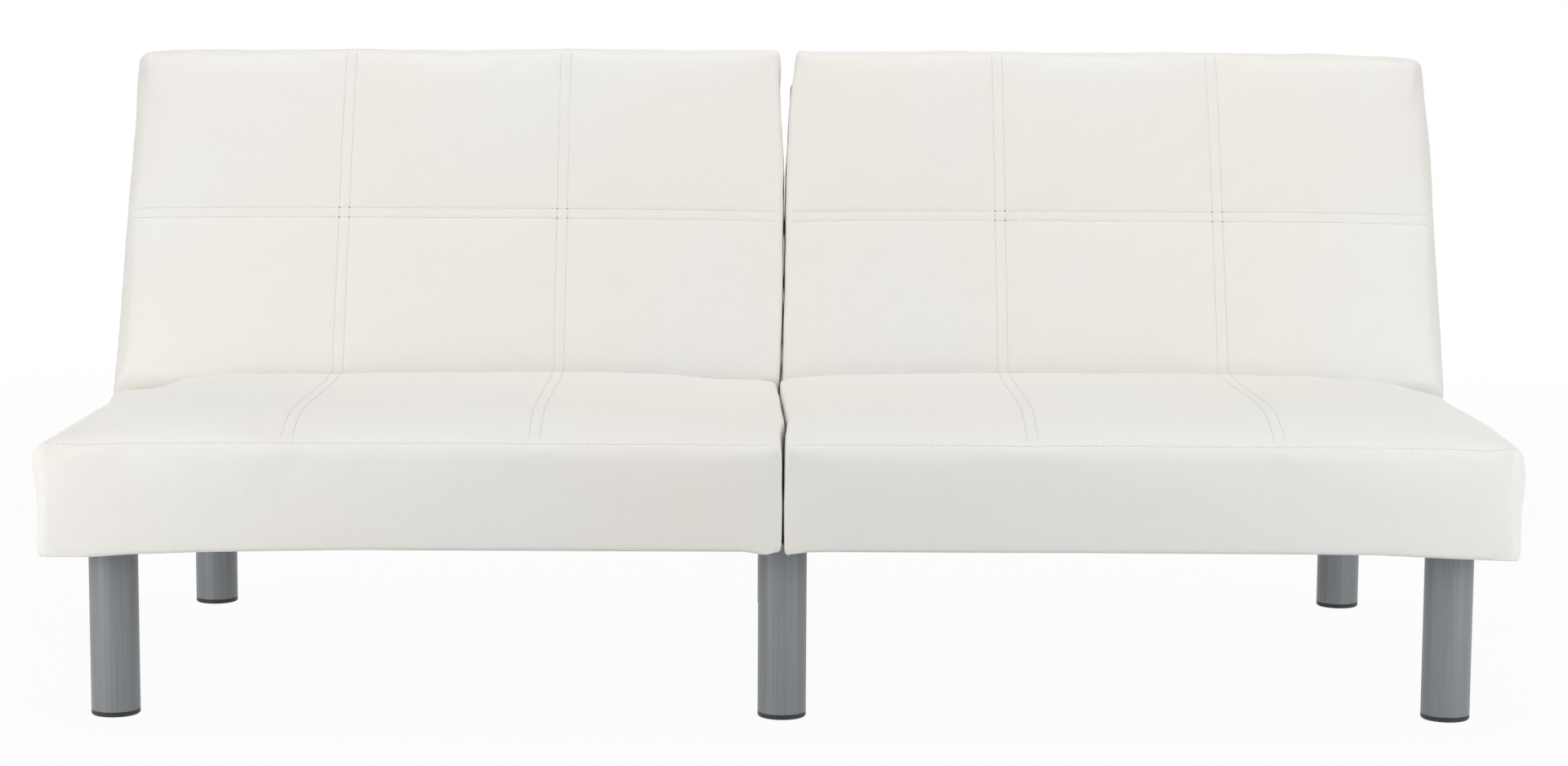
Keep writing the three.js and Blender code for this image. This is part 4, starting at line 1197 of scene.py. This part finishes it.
@dataclass
class BackingCloth:
    """The thin black cloth that closes the underside of a seat or the rear of a back, stapled at its hem."""

    side: Side
    finish: Material
    zinc: Material
    thickness: float = 0.0006
    hem: float = 0.013
    hem_rise: float = 0.0004
    hem_edge: float = 0.0008
    pucker: float = 0.00025
    rear_margin: float = 0.015
    rear_depth: float = 0.1036
    rear_sag: float = 0.0007
    front_inset: float = 0.008
    foot_sag: float = 0.0009
    foot_lift: float = 0.0002
    leg_hole: float = 0.0312
    middle_share: float = 0.37  # how much of the middle leg's hole lies in this half's cloth
    staple_pitch: float = 0.048
    staple_lean: float = 8
    staple: tuple[float, float, float] = (0.0105, 0.0012, 0.0006)

    def panel(self, width: float, length: float, sag: float) -> Piece:
        """A flat hemmed panel around the origin, sagging along -z inside its stapled edge."""
        Bench.clear()
        across, along = 72, 42
        bpy.ops.mesh.primitive_grid_add(x_subdivisions=across, y_subdivisions=along, size=1)
        panel = bpy.context.object
        points = Bench.points(panel)
        edge = np.array([0, 0.5 * self.hem, self.hem, self.hem + self.hem_edge])
        for axis, (size, count) in enumerate(((width, across), (length, along))):
            inner = np.linspace(2 * self.hem, size - 2 * self.hem, count - 7)
            stations = np.array([*edge, *inner, *(size - edge[::-1])])
            rank = np.rint((points[:, axis] + 0.5) * count).astype(int)
            points[:, axis] = stations[rank] - size / 2
        x, y, _ = points.T
        from_edge = np.minimum(width / 2 - np.abs(x), length / 2 - np.abs(y))
        hem = 1 - smoothstep((from_edge - self.hem) / self.hem_edge)
        pucker = np.cos(2 * math.pi * (x + y) / self.staple_pitch) * bell(from_edge - 0.02, 0.03)
        slack = smoothstep((from_edge - 0.012) / 0.05)
        waves = 1 + 0.3 * np.sin(9 * x + 2) * np.sin(14 * y)
        points[:, 2] = hem * self.hem_rise - sag * slack * waves + self.pucker * pucker
        Bench.move(panel, points)
        Bench.modify(panel, "SOLIDIFY", thickness=self.thickness, offset=0)
        return panel

    def staples(self, width: float, length: float, name: str) -> Piece:
        """A ring of staples around a panel, set in its hem."""
        size = Vector(self.staple)
        staple = Bench.box(-size / 2, size / 2, 0.00025)
        half = (width / 2 - 0.5 * self.hem, length / 2 - 0.5 * self.hem)
        places = []
        for axis in (0, 1):
            reach = half[axis] - 0.02
            count = round(2 * reach / self.staple_pitch)
            turn = Matrix.Rotation(math.radians(90 * axis + self.staple_lean), 4, "Z")
            for step in range(count + 1):
                for sign in (-1, 1):
                    place = [0.0, 0.0, self.hem_rise + 0.5 * self.thickness + 0.2 * size.z]
                    place[axis] = -reach + 2 * reach * step / count
                    place[1 - axis] = sign * half[1 - axis]
                    places.append(Matrix.Translation(place) @ turn)
        return Bench.repeat(staple, places, name, self.zinc)

    def hang(self, kind: str, size: tuple[float, float], sag: float, frame_at: Matrix, body: str) -> Piece:
        """Makes a cloth with its staples and puts it over its opening.

        Args:
            kind: "rear" or "foot", the start of both names.
            size: the width and length.
            sag: how far the cloth hangs in at the middle.
            frame_at: the opening's middle, with y along it and z outwards.
            body: the body that carries the cloth.

        Returns:
            The cloth.
        """
        label = self.side.value
        cloth = self.panel(*size, sag)
        staples = self.staples(*size, f"{kind}_staples_{label}")
        for piece, slot in ((cloth, "black_cloth"), (staples, "zinc_steel")):
            piece.matrix_world = frame_at
            Bench.settle(piece)
            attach(piece, body)
        name = f"{kind}_cloth_{label}"
        LOG.info("%s: %.0f by %.0f mm", name, 1000 * size[0], 1000 * size[1])
        return Bench.name(cloth, name, self.finish)

    def rear(self, mattress: Mattress) -> None:
        """Closes the rear of the back."""
        label = self.side.value
        low, high = -mattress.wall_overlap + self.rear_margin, mattress.back_length - self.rear_margin
        size = (mattress.width - 2 * self.rear_margin, high - low)
        into = Vector((0, *mattress.into_back))
        along = Vector((0, *mattress.up_back))
        origin = Vector((mattress.middle, *mattress.crease)) + along * (low + high) / 2
        origin += into * self.rear_depth
        cloth = self.hang("rear", size, self.rear_sag, Bench.stand(origin, along, into), f"back_{label}")
        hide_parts(f"back_rear_cloth_{label}")

    def foot(self) -> None:
        """Closes the underside of the seat, around the front legs."""
        label = self.side.value
        low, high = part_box(f"seat_dust_cloth_{label}")
        low.y += self.front_inset
        size = (high.x - low.x, high.y - low.y)
        origin = (low + high) / 2
        origin.z += self.foot_lift
        place = Bench.stand(origin, Vector((0, 1, 0)), Vector((0, 0, -1)))
        cloth = self.hang("foot", size, -self.foot_sag, place, "base")
        area = size[0] * size[1]
        for leg, share in ((f"leg_front_{label}", 1), ("leg_front_middle", self.middle_share)):
            self.pierce(cloth, leg)
            area -= math.pi * self.leg_hole**2 * share
        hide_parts(f"seat_dust_cloth_{label}")

    def pierce(self, cloth: Piece, leg: str) -> None:
        """Cuts the round opening for a leg."""
        low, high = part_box(leg)
        place = ((low.x + high.x) / 2, (low.y + high.y) / 2, 0.218)
        Bench.clear()
        bpy.ops.mesh.primitive_cylinder_add(vertices=40, radius=self.leg_hole, depth=0.03, location=place)
        cutter = bpy.context.object
        Bench.modify(cloth, "BOOLEAN", operation="DIFFERENCE", object=cutter, solver="EXACT")
        bpy.data.objects.remove(cutter)


# Screws, welds and plugs


@dataclass
class Fixings:
    """The small hardware of the frame."""

    zinc: Material
    powder: Material
    plastic: Material
    screw_radius: float = 0.0048
    screw_height: float = 0.0021
    screw_places: tuple[float, ...] = (0.03, 0.075, 0.125)
    flange: float = 0.003
    bead_radius: float = 0.0024
    bead_pitch: float = 0.0019
    bead_inset: float = 0.002
    plug_rise: float = 0.0028
    plug_rim: float = 0.004

    def screw(self) -> Piece:
        """A pan-head screw with a hexagon socket, standing on the origin."""
        Bench.clear()
        radius, height = self.screw_radius, self.screw_height
        middle = (0, 0, height / 2)
        bpy.ops.mesh.primitive_cylinder_add(vertices=24, radius=radius, depth=height, location=middle)
        screw = bpy.context.object
        Bench.settle(screw)
        Bench.select_faces(screw, lambda face: face.normal.z > 0.9)
        bpy.ops.mesh.inset(thickness=0.55 * radius)
        bpy.ops.mesh.extrude_region_move(TRANSFORM_OT_translate={"value": (0, 0, -0.6 * height)})
        Bench.leave_edit()
        Bench.modify(screw, "BEVEL", width=0.00035, segments=2, limit_method="ANGLE")
        return screw

    def flange_screws(self, mattress: Mattress) -> None:
        """Screws both arms of a back to its board."""
        label = mattress.side.value
        into = Vector((0, *mattress.into_back))
        along = Vector((0, *mattress.up_back))
        places = []
        for place in ("outer", "inner"):
            low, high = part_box(f"hinge_arm_{label}_{place}")
            points = Bench.points(frame["nodes"][f"hinge_arm_{label}_{place}"])
            depths = (points[:, 1:] - mattress.crease) @ mattress.into_back
            behind = depths[depths > mattress.back_thickness + 0.0005]
            face = float(behind.min()) + self.flange
            x = high.x - 0.35 * (high.x - low.x)
            foot = Vector((x, *mattress.crease)) + into * face
            places += [Bench.stand(foot + along * v, along, into) for v in self.screw_places]
        name = f"flange_screws_{label}"
        screws = Bench.repeat(self.screw(), places, name, self.zinc)
        Bench.smooth(screws, 30)
        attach(screws, f"back_{label}")
        LOG.info("%s: %d screws", name, len(places))

    def weld_runs(self) -> list[tuple[Vector, Vector]]:
        """The lines where the rear rails and the hinge leaves meet the long rails."""
        runs = []
        for side in Side:
            low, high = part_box(f"rear_rail_{side.value}")
            for x in (low.x, high.x):
                front, rear, foot = ((x, low.y, high.z), (x, high.y, high.z), (x, high.y, low.z))
                runs += [(front, rear), (foot, rear), ((x, low.y, low.z), front)]
            for place in ("outer", "inner"):
                leaf_low, leaf_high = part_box(f"hinge_leaf_{side.value}_{place}")
                low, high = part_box("long_rail_middle" if place == "inner" else f"long_rail_{side.value}")
                x = low.x if leaf_high.x < (low.x + high.x) / 2 else high.x
                ends = (low.z + self.bead_inset, high.z - self.bead_inset)
                runs.append(tuple((x, leaf_high.y, z) for z in ends))
        return [(Vector(start), Vector(end)) for start, end in runs]

    def welds(self) -> None:
        """Lays the weld beads."""
        Bench.clear()
        bpy.ops.mesh.primitive_uv_sphere_add(segments=8, ring_count=6, radius=self.bead_radius)
        bead = bpy.context.object
        bead.scale = (1, 1, 0.6)
        Bench.settle(bead)
        places = []
        for start, end in self.weld_runs():
            count = int((end - start).length / self.bead_pitch)
            turn = (end - start).to_track_quat("Z", "Y").to_matrix().to_4x4()
            places += [Matrix.Translation(start.lerp(end, (i + 0.5) / count)) @ turn for i in range(count)]
        beads = Bench.repeat(bead, places, "weld_beads", self.powder)
        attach(beads, "base")
        LOG.info("weld_beads: %d beads", len(places))

    def end_plugs(self) -> None:
        """Closes the rear ends of the long rails with domed plugs."""
        for place in ("left", "middle", "right"):
            low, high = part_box(f"long_rail_{place}")
            plug = Bench.box((low.x, high.y, low.z), (high.x, high.y + self.plug_rise, high.z), 0.0011, 3)
            Bench.select_faces(plug, lambda face: face.normal.y > 0.9)
            bpy.ops.mesh.inset(thickness=self.plug_rim)
            bpy.ops.mesh.extrude_region_move(TRANSFORM_OT_translate={"value": (0, -0.0007, 0)})
            bpy.ops.mesh.inset(thickness=0.0012)
            Bench.leave_edit()
            Bench.smooth(Bench.name(plug, f"end_plug_{place}", self.plastic), 40)
            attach(plug, "base")
            LOG.info("%s", plug.name)


# The studio


@dataclass
class Studio:
    """The floor, the lamps and the camera of the photograph."""

    image_width: int = 1920
    focal_length_px: float = 3980
    sensor: float = 36
    camera_place: tuple[float, float, float] = (-0.0336, -4.3075, 0.881)
    pitch_deg: float = -6.72
    yaw_deg: float = -0.495
    roll_deg: float = 0.331
    floor_half: float = 9.0
    ambient: float = 0.353
    aim: tuple[float, float, float] = (0, 0, 0.45)

    def camera(self) -> None:
        """Places the camera that was fitted to the photograph's corners and feet."""
        data = bpy.data.cameras.new("camera")
        data.sensor_width = self.sensor
        data.lens = self.focal_length_px * self.sensor / self.image_width
        camera = bpy.data.objects.new("camera", data)
        bpy.context.collection.objects.link(camera)
        pitch, yaw, roll = (math.radians(a) for a in (self.pitch_deg, self.yaw_deg, self.roll_deg))
        forward = Vector((-math.sin(yaw) * math.cos(pitch), math.cos(yaw) * math.cos(pitch), math.sin(pitch)))
        right = Vector((math.cos(yaw), math.sin(yaw), 0))
        up = right.cross(forward)
        cos, sin = math.cos(roll), math.sin(roll)
        right, up = cos * right + sin * up, cos * up - sin * right
        turn = Matrix((right, up, -forward)).transposed().to_4x4()
        camera.matrix_world = Matrix.Translation(self.camera_place) @ turn
        bpy.context.scene.camera = camera

    def floor(self) -> None:
        """Lays the white floor."""
        Bench.clear()
        bpy.ops.mesh.primitive_plane_add(size=2 * self.floor_half)
        floor = Bench.name(bpy.context.object, "floor", StudioPaper().build())

    def lamp(self, name: str, place: Sequence[float], size: tuple[float, float], power: float) -> None:
        """Hangs one soft box that faces the sofa's middle."""
        data = bpy.data.lights.new(name, "AREA")
        data.shape = "RECTANGLE"
        data.size, data.size_y = size
        data.energy = power
        lamp = bpy.data.objects.new(name, data)
        bpy.context.collection.objects.link(lamp)
        turn = (Vector(self.aim) - Vector(place)).to_track_quat("-Z", "Y").to_matrix().to_4x4()
        lamp.matrix_world = Matrix.Translation(place) @ turn

    def lights(self) -> None:
        """Sets two soft boxes on each side, one overhead, and a pale surround."""
        self.lamp("soft_box_left", (-2.25, -2.0, 1.45), (1.3, 1.5), 15)
        self.lamp("soft_box_right", (2.25, -2.0, 1.45), (1.3, 1.5), 20)
        self.lamp("soft_box_low_left", (-2.1, -1.5, 0.5), (0.9, 0.7), 10.7)
        self.lamp("soft_box_low_right", (2.1, -1.5, 0.5), (0.9, 0.7), 6.5)
        self.lamp("soft_box_top", (0, 0.2, 3.0), (3.4, 1.2), 33)
        world = bpy.context.scene.world or bpy.data.worlds.new("world")
        bpy.context.scene.world = world
        world.use_nodes = True
        nodes = Nodes(world.node_tree)
        ground = nodes.tree.nodes["Background"]
        nodes.feed(ground.inputs["Color"], tint(1, 1, 1))
        level = nodes.add("ShaderNodeMapRange", None, {"Value": nodes.seen(), "To Min": self.ambient})
        nodes.feed(ground.inputs["Strength"], level)

    def build(self) -> None:
        """Sets up the studio."""
        bpy.context.scene.view_settings.view_transform = "Standard"
        self.camera()
        self.floor()
        self.lights()


def dress_steel(finishes: dict[str, Material]) -> None:
    """Gives the rigid CAD nodes their finishes.

    Args:
        finishes: the material for each start of a node's name.
    """
    for name, node in frame["nodes"].items():
        for start, finish in finishes.items():
            if name.startswith(start):
                node.data.materials.clear()
                node.data.materials.append(finish)


def main() -> None:
    """Builds the studio and the sofa."""
    logging.basicConfig(level=logging.INFO, format="%(message)s")
    Studio().build()
    powder, zinc, wood = POWDER_COAT.build(), ZincPlate().build(), Plywood().build()
    cloth, plastic = SpunCloth().build(), MOULDED_PLASTIC.build()
    dress_steel({
        "long_rail": powder, "front_rail": powder, "seat_rail": powder, "rear_rail": powder,
        "leg": SatinSteel().build(), "foot": plastic, "rest_pad": RUBBER.build(),
        "hinge": zinc, "pawl": zinc, "seat_board": wood, "back_board": wood,
    })
    leatherette, thread = Leatherette().build(), Thread().build()
    fixings = Fixings(zinc, powder, plastic)
    for side in Side:
        half = Mattress(side, leatherette, thread)
        half.build()
        half.stitches()
        # Black discs of painted shade where the stitch rows cross.
        half.hole_shade_discs(cloth)
        backing = BackingCloth(side, cloth, zinc)
        backing.rear(half)
        backing.foot()
        fixings.flange_screws(half)
    fixings.welds()
    fixings.end_plugs()


if __name__ == "__main__":
    main()
